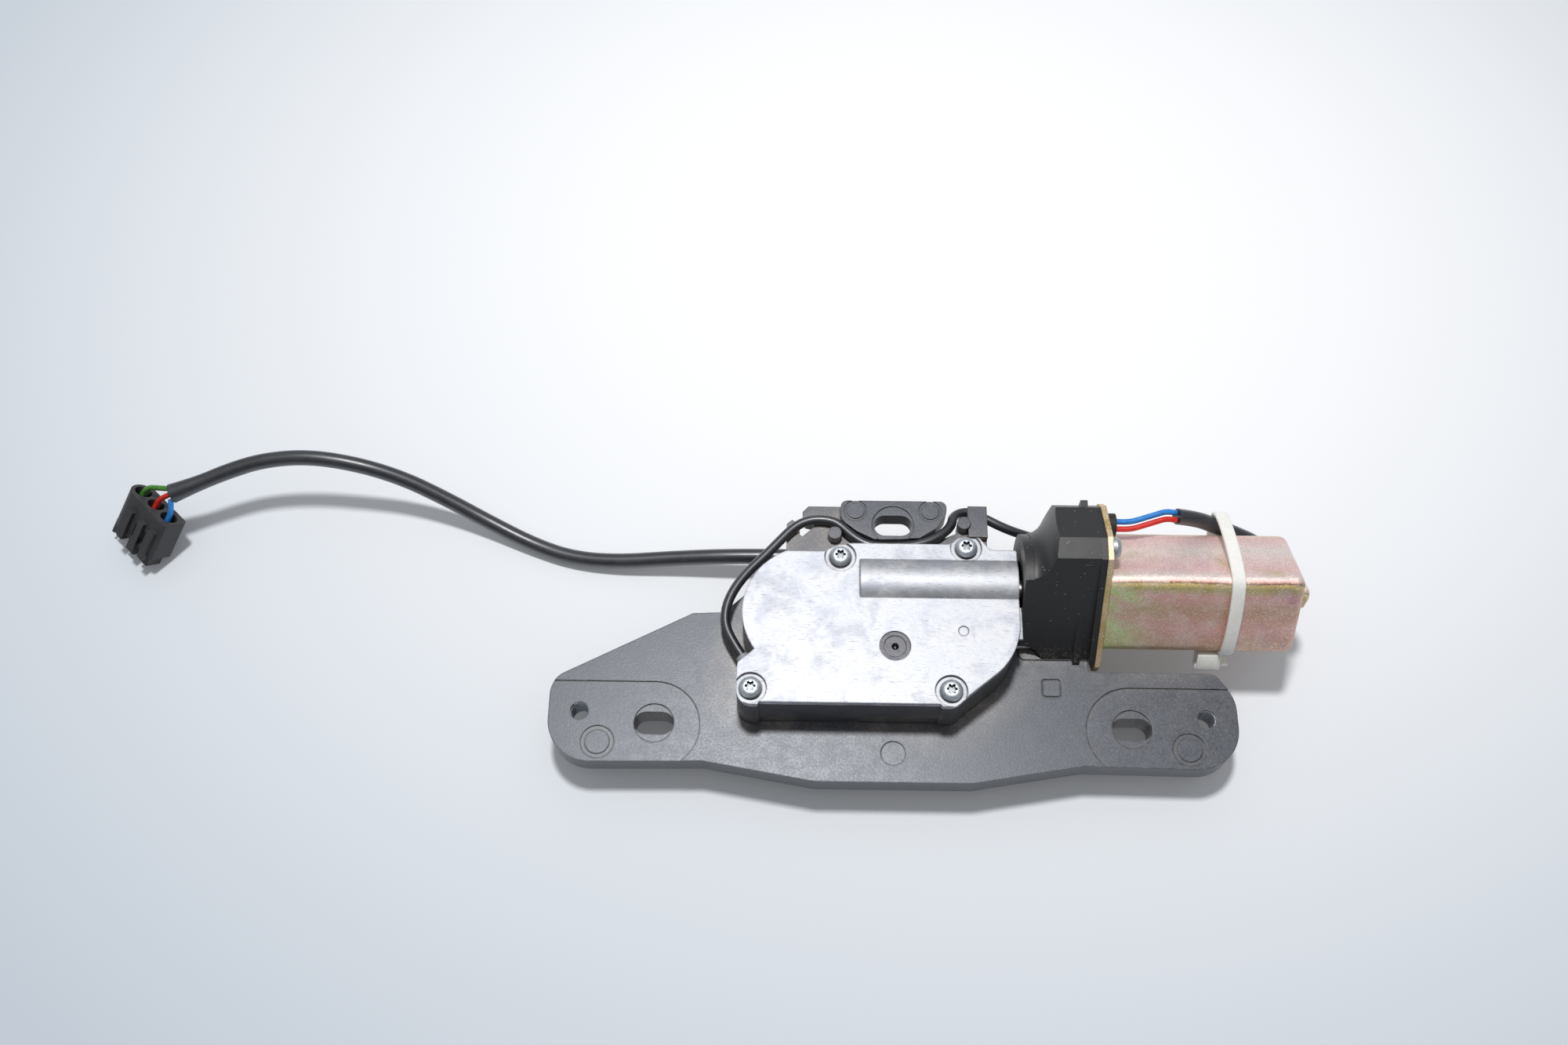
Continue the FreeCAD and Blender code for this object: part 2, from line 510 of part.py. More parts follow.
def gear_cover():
    cover = body("gear_cover")
    pad(cover, polygon(sketch(cover, "cover_outline", height=COVER_BASE), BOX), "cover_thick")
    box_corners(cover)
    lug = sketch(cover, "cover_lug", height=COVER_BASE)
    polygon(lug, [("box_right - 2", 26.7), ("box_right + 1", 26.7), ("box_right + 1", 38.9),
                  ("box_right - 2", 38.9)])
    pad(cover, lug, "cover_thick - 1.8")
    # Half-round ridge over the worm, its hollow, and the saddle for the inner bush
    ridge = sketch(cover, "ridge_round", role="YZ_Plane", height="bulge_left")
    circle(ridge, "worm_y", AXIS_Z, "bulge_radius")
    pad(cover, ridge, "box_right - bulge_left")
    below = sketch(cover, "ridge_trim", height=COVER_BASE)
    polygon(below, [(-60, -5), (60, -5), (60, 75), (-60, 75)])
    pocket(cover, below, 40)
    saddle = sketch(cover, "saddle_block", height=SADDLE_BASE)
    polygon(saddle, [("worm_start - 8", "worm_y - 6"), ("worm_start - 2.4", "worm_y - 6"),
                     ("worm_start - 2.4", "worm_y + 6"), ("worm_start - 8", "worm_y + 6")])
    pad(cover, saddle, f"{COVER_BASE} + 1 - ({SADDLE_BASE})")
    hollow = sketch(cover, "ridge_hollow", role="YZ_Plane", height="worm_start - 2.2")
    circle(hollow, "worm_y", AXIS_Z, "channel_radius")
    pocket(cover, hollow, "box_right - box_wall - worm_start + 2.2", up=True)
    seat = sketch(cover, "saddle_bore", role="YZ_Plane", height="worm_start - 7")
    circle(seat, "worm_y", AXIS_Z, "wheel_shaft_radius")
    pocket(cover, seat, "6", up=True)
    # Boss for the top of the crank shaft and the open bore over the wheel shaft
    boss = sketch(cover, "crank_boss", height="plate_top + gear_lift + gear_width + 0.8")
    circle(boss, LOBE_X, LOBE_Y, "crank_top_radius + bush_wall + 2")
    pad(cover, boss, f"{COVER_BASE} + 1 - plate_top - gear_lift - gear_width - 0.8")
    hole = sketch(cover, "crank_bore", height="plate_top + gear_lift + gear_width + 0.8")
    circle(hole, LOBE_X, LOBE_Y, "crank_top_radius + bush_wall")
    pocket(cover, hole, f"{COVER_BASE} - 1 - plate_top - gear_lift - gear_width - 0.8", up=True)
    bore = sketch(cover, "wheel_bore", height=COVER_TOP)
    circle(bore, "wheel_x", "wheel_y", "wheel_shaft_radius + bush_wall")
    pocket(cover, bore, "cover_thick + 1")
    holes = sketch(cover, "screw_holes", height=COVER_TOP)
    rings = sketch(cover, "screw_seats", height=COVER_TOP)
    for x, y in COVER_SCREWS:
        circle(holes, x, y, "screw_size / 2 + 0.3")
        circle(rings, x, y, "cover_screw_seat / 2")
    pocket(cover, rings, "seat_drop")
    pocket(cover, holes, "cover_thick + 1")
    mark = sketch(cover, "cover_mark", height=COVER_TOP)
    circle(mark, 24.6, 28.9, 1.9)
    pocket(cover, mark, 0.3)
    return cover


def cover_gasket():
    gasket = body("cover_gasket")
    pad(gasket, polygon(sketch(gasket, "gasket_outline", height="wall_top"), BOX), "gasket_thick")
    box_corners(gasket)
    window = sketch(gasket, "gasket_window", height=COVER_BASE)
    circle(window, LOBE_X, LOBE_Y, "(gear_teeth + 2) * gear_module / 2 + 0.6")
    pocket(gasket, window, "gasket_thick + 1")
    round_window = sketch(gasket, "gasket_round_window", height=COVER_BASE)
    circle(round_window, "wheel_x", "wheel_y", "(wheel_teeth + 2) * worm_module / 2 + 0.7")
    pocket(gasket, round_window, "gasket_thick + 1")
    slotted = sketch(gasket, "gasket_worm_window", height=COVER_BASE)
    polygon(slotted, [("worm_start - 2.2", "worm_y - channel_radius"),
                      ("box_right - box_wall", "worm_y - channel_radius"),
                      ("box_right - box_wall", "worm_y + channel_radius"),
                      ("worm_start - 2.2", "worm_y + channel_radius")])
    pocket(gasket, slotted, "gasket_thick + 1")
    notch = sketch(gasket, "gasket_saddle_window", height=COVER_BASE)
    polygon(notch, SADDLE_ROOM)
    pocket(gasket, notch, "gasket_thick + 1")
    square = sketch(gasket, "gasket_switch_window", height=COVER_BASE)
    polygon(square, [(-46.4, 6.2), (-31.6, 6.2), (-31.6, 20.0), (-46.4, 20.0)])
    pocket(gasket, square, "gasket_thick + 1")
    holes = sketch(gasket, "gasket_screw_holes", height=COVER_BASE)
    for x, y in COVER_SCREWS:
        circle(holes, x, y, "screw_size / 2 + 0.3")
    pocket(gasket, holes, "gasket_thick + 1")
    return gasket


def driver_recess(radius, depth, lobes):
    """A driver recess: a hexagon without lobes, or else a star with as many blunt lobes."""
    points = [(radius, 60 * k) for k in range(6)]
    if lobes:
        step = 360 / lobes
        spread = ((radius, -0.19), (radius, 0.19), (radius * 0.72, 0.36), (radius * 0.72, 0.64))
        points = [(reach, step * (k + share)) for k in range(lobes) for reach, share in spread]
    spots = [V(reach * math.cos(math.radians(angle)), reach * math.sin(math.radians(angle)), 0)
             for reach, angle in points]
    return Part.Face(Part.makePolygon(spots + spots[:1])).extrude(V(0, 0, depth))


def screw(head, thick, shank, length, drive, lobes=6):
    """A pan-head screw: the underside of the head at zero, the shank downwards."""
    profile = Part.Face(Part.Wire([
        Part.makeLine(V(0, 0, 0), V(head / 2, 0, 0)),
        Part.makeLine(V(head / 2, 0, 0), V(head / 2, 0, thick * 0.45)),
        Part.Arc(V(head / 2, 0, thick * 0.45), V(head * 0.40, 0, thick * 0.87),
                 V(head * 0.22, 0, thick)).toShape(),
        Part.makeLine(V(head * 0.22, 0, thick), V(0, 0, thick)),
        Part.makeLine(V(0, 0, thick), V(0, 0, 0))]))
    shape = profile.revolve(V(0, 0, 0), V(0, 0, 1), 360)
    shape = shape.fuse(Part.makeCylinder(shank / 2, length, V(0, 0, -length)))
    socket = driver_recess(drive / 2, thick * 0.6, lobes)
    socket.translate(V(0, 0, thick * 0.45))
    return shape.cut(socket)


def group(name, pieces):
    return feature(name, Part.makeCompound(pieces))


def cover_screws():
    pieces = []
    for x, y in COVER_SCREWS:
        piece = screw(S["screw_head"], S["screw_head_thick"], S["screw_size"] - 0.1,
                      S["screw_reach"] - 1, S["drive_size"])
        piece.translate(V(x, y, val(COVER_TOP) - S["seat_drop"]))
        pieces.append(piece)
    return group("cover_screws", pieces)


# Gear train
def tooth_outline(module, teeth, backlash, lift=0.0):
    """A toothed outline with involute flanks, drawn in short straight steps."""
    pitch = module * teeth / 2
    base = pitch * math.cos(math.radians(20))
    outer = pitch + module
    root = pitch - 1.25 * module
    half = math.pi / (2 * teeth) - backlash / (2 * pitch) * 1.0

    def flank(radius):
        if radius <= base:
            return 0.0
        roll = math.sqrt((radius / base) ** 2 - 1)
        return roll - math.atan(roll)

    at_pitch = flank(pitch)
    steps = [root, max(base, root + 0.15 * module), pitch - 0.25 * module, pitch + 0.4 * module, outer]
    points = []
    for tooth in range(teeth):
        middle = lift + 2 * math.pi * tooth / teeth
        rising = [(radius, middle - half - at_pitch + flank(radius)) for radius in steps]
        falling = [(radius, 2 * middle - angle) for radius, angle in reversed(rising)]
        points += rising + falling
    return [V(radius * math.cos(angle), radius * math.sin(angle), 0) for radius, angle in points]


def toothed(module, teeth, width, backlash, lift=0.0, twist=0.0):
    """A toothed wheel from zero up to its width, its teeth turned by the twist on the way."""
    low = tooth_outline(module, teeth, backlash, lift - twist / 2)
    high = tooth_outline(module, teeth, backlash, lift + twist / 2)
    wires = []
    for points, height in ((low, 0), (high, width)):
        raised = [point + V(0, 0, height) for point in points]
        wires.append(Part.makePolygon(raised + raised[:1]))
    if abs(twist) < 1e-9:
        return Part.Face(wires[0]).extrude(V(0, 0, width))
    return Part.makeLoft(wires, True, True)


WORM_LEAD = val("worm_module") * math.pi
WORM_TWIST = val("wheel_width") * WORM_LEAD / (2 * math.pi * WORM_PITCH_RADIUS) / val(
    "worm_module * wheel_teeth / 2")
GEAR_ANGLE = math.atan2(LOBE_Y - WHEEL[1], LOBE_X - WHEEL[0])


def gear_train():
    middle = V(*WHEEL, 0)
    # The worm wheel has a tooth gap facing the worm, and the pinion a tooth facing the output gear
    wheel = toothed(S["worm_module"], S["wheel_teeth"], S["wheel_width"], S["backlash"],
                    math.pi / 2 + math.pi / S["wheel_teeth"], WORM_TWIST)
    wheel = wheel.cut(Part.makeCylinder(val("wheel_shaft_radius"), 20))
    wheel.translate(middle + V(0, 0, val(AXIS_Z) - S["wheel_width"] / 2))
    feature("worm_wheel", wheel)
    low = val("plate_top + gear_lift")
    pinion = toothed(S["gear_module"], S["pinion_teeth"], S["gear_width"] + 0.6, S["backlash"], GEAR_ANGLE)
    pinion = pinion.cut(Part.makeCylinder(val("wheel_shaft_radius"), 20))
    pinion.translate(middle + V(0, 0, low))
    feature("drive_pinion", pinion)
    shaft_low = val(FLOOR_Z) + 0.3
    shaft = Part.makeCylinder(S["wheel_shaft_radius"], val(COVER_TOP) - 0.8 - shaft_low,
                              middle + V(0, 0, shaft_low))
    centre = Part.makeCone(0.4, 1.3, 1.2, middle + V(0, 0, val(COVER_TOP) - 2.0))
    feature("wheel_shaft", shaft.cut(centre))
    hub = V(LOBE_X, LOBE_Y, 0)
    gear = toothed(S["gear_module"], S["gear_teeth"], S["gear_width"], S["backlash"],
                   GEAR_ANGLE + math.pi + math.pi / S["gear_teeth"])
    gear = gear.cut(Part.makeCylinder(S["crank_radius"], 20))
    gear.translate(hub + V(0, 0, low))
    for i in range(5):
        angle = math.radians(72 * i + 20)
        spot = hub + V(14.2 * math.cos(angle), 14.2 * math.sin(angle), low - 1)
        gear = gear.cut(Part.makeCylinder(3.6, S["gear_width"] + 2, spot))
    feature("output_gear", gear)
    top = val(COVER_BASE) - 1.4
    start = val(SLIDE_TOP) + 0.3
    crank = Part.makeCylinder(S["crank_radius"], low + S["gear_width"] - start, hub + V(0, 0, start))
    crank = crank.fuse(Part.makeCylinder(S["crank_top_radius"], top - low - S["gear_width"],
                                         hub + V(0, 0, low + S["gear_width"])))
    rest_angle = math.radians(-S["swing"] / 2)
    pin = hub + V(S["crank_throw"] * math.cos(rest_angle), S["crank_throw"] * math.sin(rest_angle), 0)
    pin_low = val(SLIDE_TOP) - S["slide_thick"] + 0.3
    crank = crank.fuse(Part.makeCylinder(S["crank_pin"], start - pin_low, pin + V(0, 0, pin_low)))
    feature("crank_shaft", crank.removeSplitter())
    roller = Part.makeCylinder(S["crank_pin"] + S["roller_wall"], start - 0.2 - pin_low,
                               pin + V(0, 0, pin_low))
    roller = roller.cut(Part.makeCylinder(S["crank_pin"] + S["run_gap"], 20, pin + V(0, 0, pin_low - 5)))
    feature("crank_roller", roller)


def bushes():
    cylinder("wheel_lower_bush", "wheel_shaft_radius + bush_wall", "floor_wall", "wheel_x", "wheel_y",
             FLOOR_Z, bore="wheel_shaft_radius + run_gap")
    cylinder("wheel_upper_bush", "wheel_shaft_radius + bush_wall", "cover_thick - 0.5", "wheel_x",
             "wheel_y", COVER_BASE, bore="wheel_shaft_radius + run_gap")
    cylinder("crank_lower_bush", "crank_radius + bush_wall", "floor_wall", LOBE_X, LOBE_Y, FLOOR_Z,
             bore="crank_radius + run_gap")
    cylinder("crank_upper_bush", "crank_top_radius + bush_wall",
             f"{COVER_BASE} - 1 - plate_top - gear_lift - gear_width - 0.8", LOBE_X, LOBE_Y,
             "plate_top + gear_lift + gear_width + 0.8", bore="crank_top_radius + run_gap")
    cylinder("worm_inner_bush", "wheel_shaft_radius", 4.3, "worm_start - 7", "worm_y", AXIS_Z,
             bore="motor_shaft_radius + run_gap", axis="X")
    cylinder("worm_outer_bush", "worm_shaft_radius + bush_wall", "box_wall", "box_right - box_wall",
             "worm_y", AXIS_Z, bore="worm_shaft_radius + run_gap", axis="X")


def worm_shaft():
    """The worm: a turned shaft with one right-handed thread, built along Z and laid along X."""
    shaft = body("worm_shaft")
    outline = sketch(shaft, "shaft_profile", role="XZ_Plane")
    core = WORM_PITCH_RADIUS - 1.2 * val("worm_module")
    polygon(outline, [(0, "worm_start - 6.7"), ("motor_shaft_radius", "worm_start - 6.7"),
                      ("motor_shaft_radius", "worm_start - 1.8"), (core, "worm_start - 1.8"),
                      (core, "worm_stop + 1.8"), ("worm_shaft_radius + 2", "worm_stop + 4"),
                      ("worm_shaft_radius + 2", "box_right - box_wall - 0.6"),
                      ("worm_shaft_radius", "box_right - box_wall - 0.6"),
                      ("worm_shaft_radius", "coupling_start + coupling_length / 2 - 1"),
                      (0, "coupling_start + coupling_length / 2 - 1")])
    turned = shaft.newObject("PartDesign::Revolution", "turned_shaft")
    turned.Profile = outline
    turned.ReferenceAxis = (outline, ["V_Axis"])
    turned.Angle = 360
    doc.recompute()
    thread = sketch(shaft, "thread_profile", role="XZ_Plane")
    pitch = val("worm_module") * math.pi
    slope = math.tan(math.radians(20))
    half = pitch / 4 - val("backlash") / 2
    module = val("worm_module")
    low, high = core - 0.3, WORM_PITCH_RADIUS + module
    # Half the thread ends three quarters of a turn from its start, where it faces the wheel
    start = -WORM_TURNS * pitch / 2
    wide = half + (WORM_PITCH_RADIUS - low) * slope
    narrow = half - module * slope
    polygon(thread, [(low, start - wide), (high, start - narrow), (high, start + narrow),
                     (low, start + wide)])
    helix = shaft.newObject("PartDesign::AdditiveHelix", "worm_thread")
    helix.Profile = thread
    helix.ReferenceAxis = (plane(shaft, "Z_Axis"), [""])
    helix.Mode = 0
    helix.Pitch = pitch
    helix.Height = WORM_TURNS * pitch
    helix.LeftHanded = False
    doc.recompute()
    shaft.Placement = FreeCAD.Placement(V(0, val("worm_y"), val(AXIS_Z)),
                                        FreeCAD.Rotation(V(0, 0, 1), V(1, 0, 0)))
    return shaft


WORM_TURNS = 3.5


# Striker slide, bow and retaining strips on the hidden side
def bow_path():
    z = val(SLIDE_TOP) - S["slide_thick"] + S["rod_sink"] - S["rod_size"] / 2
    half, bend, front, back = (S[key] for key in ("bow_half", "bow_bend", "bow_front", "bow_back"))
    corner = bend * (1 - math.sqrt(0.5))
    edges = [
        Part.makeLine(V(-half, back, z), V(-half, front + bend, z)),
        Part.Arc(V(-half, front + bend, z), V(-half + corner, front + corner, z),
                 V(-half + bend, front, z)).toShape(),
        Part.makeLine(V(-half + bend, front, z), V(half - bend, front, z)),
        Part.Arc(V(half - bend, front, z), V(half - corner, front + corner, z),
                 V(half, front + bend, z)).toShape(),
        Part.makeLine(V(half, front + bend, z), V(half, back, z))]
    return Part.Wire(edges), V(-half, back, z)


def striker():
    path, start = bow_path()
    ring = Part.Wire(Part.makeCircle(S["rod_size"] / 2, start, V(0, -1, 0)))
    bow = path.makePipeShell([ring], True, False)
    feature("striker_bow", bow)
    slide = body("striker_slide")
    outline = sketch(slide, "slide_outline", height=f"{SLIDE_TOP} - slide_thick")
    polygon(outline, [("slide_left", "slide_front + 4"), (-24.0, "slide_front"),
                      ("slide_right", "slide_front"), ("slide_right", "slide_back"),
                      ("slide_left", "slide_back")])
    pad(slide, outline, "slide_thick")
    ends = sketch(slide, "crank_slot", height=SLIDE_TOP)
    reach = S["crank_throw"] * (1 + math.cos(math.radians(S["swing"] / 2))) / 2
    width = "2 * (crank_pin + roller_wall + slot_gap)"
    drop = S["crank_throw"] * math.sin(math.radians(S["swing"] / 2))
    slot(ends, str(round(LOBE_X + reach, 4)), str(round(LOBE_Y - drop, 4)), width, f"{width} + 2.4")
    pocket(slide, ends, "slide_thick + 1")
    # Two round grooves that the legs of the bow are welded into
    legs = sketch(slide, "leg_grooves", role="XZ_Plane", height="-bow_back")
    for side in ("-", ""):
        circle(legs, f"{side}bow_half", f"{SLIDE_TOP} - slide_thick + rod_sink - rod_size / 2",
               "rod_size / 2")
    pocket(slide, legs, "bow_back", up=True)
    round_corners(slide, "slide_round", "2 * slot_gap + 2.5",
                  [("slide_right", "slide_back"), ("slide_left", "slide_back")])
    strips = []
    for sign, edge in ((-1, "slide_left - slide_gap"), (1, "slide_right + slide_gap")):
        inner = val(edge) - sign * 4
        outer = val(edge) + sign * (S["strip_width"] - 4 - 0.2)
        low, high = min(inner, outer), max(inner, outer)
        strip = Part.makeBox(high - low, val("channel_back - channel_front - 0.4"), S["strip_thick"],
                             V(low, S["channel_front"] + 0.2, S["ledge_z"] - S["strip_thick"]))
        for x, y in STRIP_SCREWS:
            spot = V(val(x), val(y), S["ledge_z"] - S["strip_thick"] - 1)
            strip = strip.cut(Part.makeCylinder(1.7, S["strip_thick"] + 2, spot))
        strips.append(strip)
    group("slide_strips", strips)
    pieces = []
    for x, y in STRIP_SCREWS:
        piece = screw(5.6, 2.0, 2.9, 6.5, 2.8, lobes=0)
        piece.rotate(V(0, 0, 0), V(1, 0, 0), 180)
        piece.translate(V(val(x), val(y), S["ledge_z"] - S["strip_thick"]))
        pieces.append(piece)
    group("strip_screws", pieces)


# Motor, flange and adaptor: sections across X, written from the shared axis
FLANGE = [(27.6, 16.6), (24.0, 22.4), (8.0, 30.4), (-0.4, 29.0), (-26.4, -9.6), (-25.2, -17.0),
          (-18.5, -22.8), (-8.0, -23.0), (10.0, -22.6), (24.0, -11.5)]


def across(points, shrink=0.0):
    """Points about the motor axis, as coordinates of a sketch across X."""
    placed = []
    for y, z in points:
        length = math.hypot(y, z)
        y, z = y * (1 - shrink / length), z * (1 - shrink / length)
        placed.append((f"worm_y + {y:.3f}", f"{AXIS_Z} + {z:.3f}"))
    return placed


GROMMET = (20.0, 14.4)
FLANGE_SCREWS = [(5.6, 26.0), (-13.5, -17.8)]


def flange():
    new = body("motor_flange")
    pad(new, polygon(sketch(new, "flange_outline", role="YZ_Plane",
                            height="motor_start - flange_thick"), across(FLANGE)), "flange_thick")
    hole = sketch(new, "flange_bore", role="YZ_Plane", height="motor_start - flange_thick - 1")
    circle(hole, "worm_y", AXIS_Z, "commutator_radius + 2")
    pocket(new, hole, "flange_thick + 2", up=True)
    holes = sketch(new, "flange_screw_holes", role="YZ_Plane", height="motor_start - flange_thick - 1")
    for y, z in FLANGE_SCREWS:
        circle(holes, f"worm_y + {y}", f"{AXIS_Z} + {z}", "screw_size / 2 + 0.2")
    circle(holes, f"worm_y + {GROMMET[0]}", f"{AXIS_Z} + {GROMMET[1]}", "grommet_radius - 1")
    pocket(new, holes, "flange_thick + 2", up=True)


def flange_screws():
    pieces = []
    for y, z in FLANGE_SCREWS:
        piece = screw(S["screw_head"], S["screw_head_thick"], S["screw_size"] - 0.1, 9.0, S["drive_size"])
        piece.rotate(V(0, 0, 0), V(0, 1, 0), 90)
        piece.translate(V(S["motor_start"], S["worm_y"] + y, val(AXIS_Z) + z))
        pieces.append(piece)
    group("flange_screws", pieces)


def adaptor():
    """Common of a trumpet turned about the motor axis and a prism with the flange's outline."""
    start = S["adaptor_start"]
    ring = S["adaptor_ring"]
    end = S["motor_start"] - S["flange_thick"]
    flare = S["adaptor_flare"]
    neck = start + S["adaptor_ring_thick"]
    curve = Part.BSplineCurve()
    curve.interpolate([V(neck, 0, ring + 0.4), V(neck + 2.4, 0, ring + 1.2), V(neck + 5.0, 0, ring + 3.6),
                       V(neck + 7.4, 0, ring + 8.6), V(neck + 11.5, 0, flare)])
    profile = Part.Face(Part.Wire([
        Part.makeLine(V(start, 0, 0), V(start, 0, ring)),
        Part.makeLine(V(start, 0, ring), V(neck, 0, ring)),
        Part.makeLine(V(neck, 0, ring), V(neck, 0, ring + 0.4)),
        curve.toShape(),
        Part.makeLine(V(neck + 11.5, 0, flare), V(end, 0, flare)),
        Part.makeLine(V(end, 0, flare), V(end, 0, 0)),
        Part.makeLine(V(end, 0, 0), V(start, 0, 0))]))
    trumpet = profile.revolve(V(0, 0, 0), V(1, 0, 0), 360)
    trumpet.translate(V(0, S["worm_y"], val(AXIS_Z)))
    stand = S["plate_top"] + S["ledge_rise"] - val(AXIS_Z) + 0.1
    ledge = S["ledge_y"] - S["worm_y"] + 0.3
    outline = [(27.0, 16.4), (23.6, 21.8), (7.8, 29.8), (0.2, 28.4), (-22.8, stand), (ledge, stand),
               (ledge, -20.4), (-16.6, -22.2), (-8.0, -22.4), (10.0, -21.6), (23.4, -11.2)]

    def prism(points, low, high):
        spots = [V(low, S["worm_y"] + y, val(AXIS_Z) + z) for y, z in points]
        return Part.Face(Part.makePolygon(spots + spots[:1])).extrude(V(high - low, 0, 0))

    shell = trumpet.common(prism(outline, start - 1, end))
    # The rim that meets the flange, a locating rib, and the small tab on the far edge
    rim = [(27.0, 16.4), (23.6, 21.8), (7.8, 29.8), (-0.2, 28.6), (-25.4, -9.4), (-23.4, stand),
           (ledge, stand), (ledge, -20.8), (-16.4, -22.5), (-8.0, -22.6), (10.0, -21.8), (23.4, -11.2)]
    shell = shell.fuse(prism(rim, end - S["rim_thick"], end))
    rib = [(-1.4, 26.0), (-1.8, 22.0), (-24.6, stand), (-20.0, stand), (0.6, 26.0)]
    shell = shell.fuse(prism(rib, 66.4, 69.0))
    nub = Part.makeBox(2.6, 3.0, 4.0, V(67.4, S["worm_y"] + 23.9, val(AXIS_Z) + 17.0))
    shell = shell.fuse(nub)
    hollow = Part.makeCylinder(S["adaptor_inner"], end - neck - 2, V(neck, S["worm_y"], val(AXIS_Z)), V(1, 0, 0))
    deep = prism([(y * 0.86, z * 0.86) for y, z in
                  [(27.0, 15.4), (8.0, 28.4), (1.4, 27.0), (-20.0, -10.0), (-12.0, -18.0), (10.0, -20.6)]],
                 neck + 13, end + 1)
    mouth = Part.makeCylinder(S["worm_shaft_radius"] + 7, 6, V(start - 1, S["worm_y"], val(AXIS_Z)),
                              V(1, 0, 0))
    shell = shell.cut(hollow).cut(deep).cut(mouth)
    for y, z in FLANGE_SCREWS:
        spot = V(end - 10, S["worm_y"] + y, val(AXIS_Z) + z)
        if y > 0:
            boss = Part.makeCylinder(3.6, 9.8, V(end - 9.8, spot.y, spot.z), V(1, 0, 0))
            shell = shell.fuse(boss.common(prism(outline, start, end)))
        shell = shell.cut(Part.makeCylinder(S["screw_size"] / 2, 11, spot, V(1, 0, 0)))
    feature("motor_adaptor", shell.removeSplitter())


def square_section(side, corner, x, lean):
    """A rounded square across X, one corner up and leaning towards the front."""
    half = side / 2
    inner = half - corner
    edges = []
    corners = [(1, 1), (-1, 1), (-1, -1), (1, -1)]
    for i, (a, b) in enumerate(corners):
        c, d = corners[(i + 1) % 4]
        turn = math.pi / 4 + i * math.pi / 2
        centre = V(0, a * inner, b * inner)
        ends = [centre + V(0, corner * math.cos(turn + k), corner * math.sin(turn + k))
                for k in (-math.pi / 4, 0, math.pi / 4)]
        edges.append(Part.Arc(*ends).toShape())
        follow = V(0, c * inner, d * inner)
        begin = follow + V(0, corner * math.cos(turn + math.pi / 4), corner * math.sin(turn + math.pi / 4))
        edges.append(Part.makeLine(ends[2], begin))
    wire = Part.Wire(edges)
    wire.rotate(V(0, 0, 0), V(1, 0, 0), 45 + lean)
    wire.translate(V(x, S["worm_y"], val(AXIS_Z)))
    return wire


def motor():
    start = S["motor_start"]
    length = S["motor_length"]
    wall = S["can_wall"]
    lean = S["motor_lean"]
    outer = Part.Face(square_section(S["motor_side"], S["motor_round"], start, lean))
    can = outer.extrude(V(length, 0, 0))
    far = [edge for edge in can.Edges if all(abs(v.Point.x - start - length) < 1e-6
                                             for v in edge.Vertexes)]
    can = can.makeFillet(S["end_round"], far)
    inner = Part.Face(square_section(S["motor_side"] - 2 * wall, S["motor_round"] - wall, start - 1, lean))
    can = can.cut(inner.extrude(V(length + 1 - wall, 0, 0)))
    middle = V(start + length, S["worm_y"], val(AXIS_Z))
    boss = Part.makeCylinder(S["end_boss"], S["end_boss_reach"] * 0.7, middle, V(1, 0, 0))
    boss = boss.fuse(Part.makeCone(S["end_boss"], S["end_boss"] * 0.45, S["end_boss_reach"] * 0.3,
                                   middle + V(S["end_boss_reach"] * 0.7, 0, 0), V(1, 0, 0)))
    can = can.fuse(boss)
    can = can.cut(Part.makeCylinder(S["motor_shaft_radius"] + 1.6, S["end_boss_reach"] * 0.7 + wall,
                                    middle - V(wall, 0, 0), V(1, 0, 0)))
    feature("motor_can", can.removeSplitter())
    # Two curved magnets bonded inside the can
    pieces = []
    reach = S["motor_side"] / 2 - wall - S["magnet_gap"]
    for turn in (0, 180):
        ring = Part.makeCylinder(reach, S["magnet_length"], V(0, 0, 0), V(1, 0, 0), 110)
        ring = ring.cut(Part.makeCylinder(reach - S["magnet_thick"], S["magnet_length"] + 2, V(-1, 0, 0),
                                          V(1, 0, 0), 360))
        ring.rotate(V(0, 0, 0), V(1, 0, 0), turn + 35)
        ring.translate(V(S["magnet_start"], S["worm_y"], val(AXIS_Z)))
        pieces.append(ring)
    group("motor_magnets", pieces)


def on_axis(radius, low, high, bore=0):
    shape = Part.makeCylinder(radius, high - low, V(low, S["worm_y"], val(AXIS_Z)), V(1, 0, 0))
    if bore:
        shape = shape.cut(Part.makeCylinder(bore, high - low + 2, V(low - 1, S["worm_y"], val(AXIS_Z)),
                                            V(1, 0, 0)))
    return shape


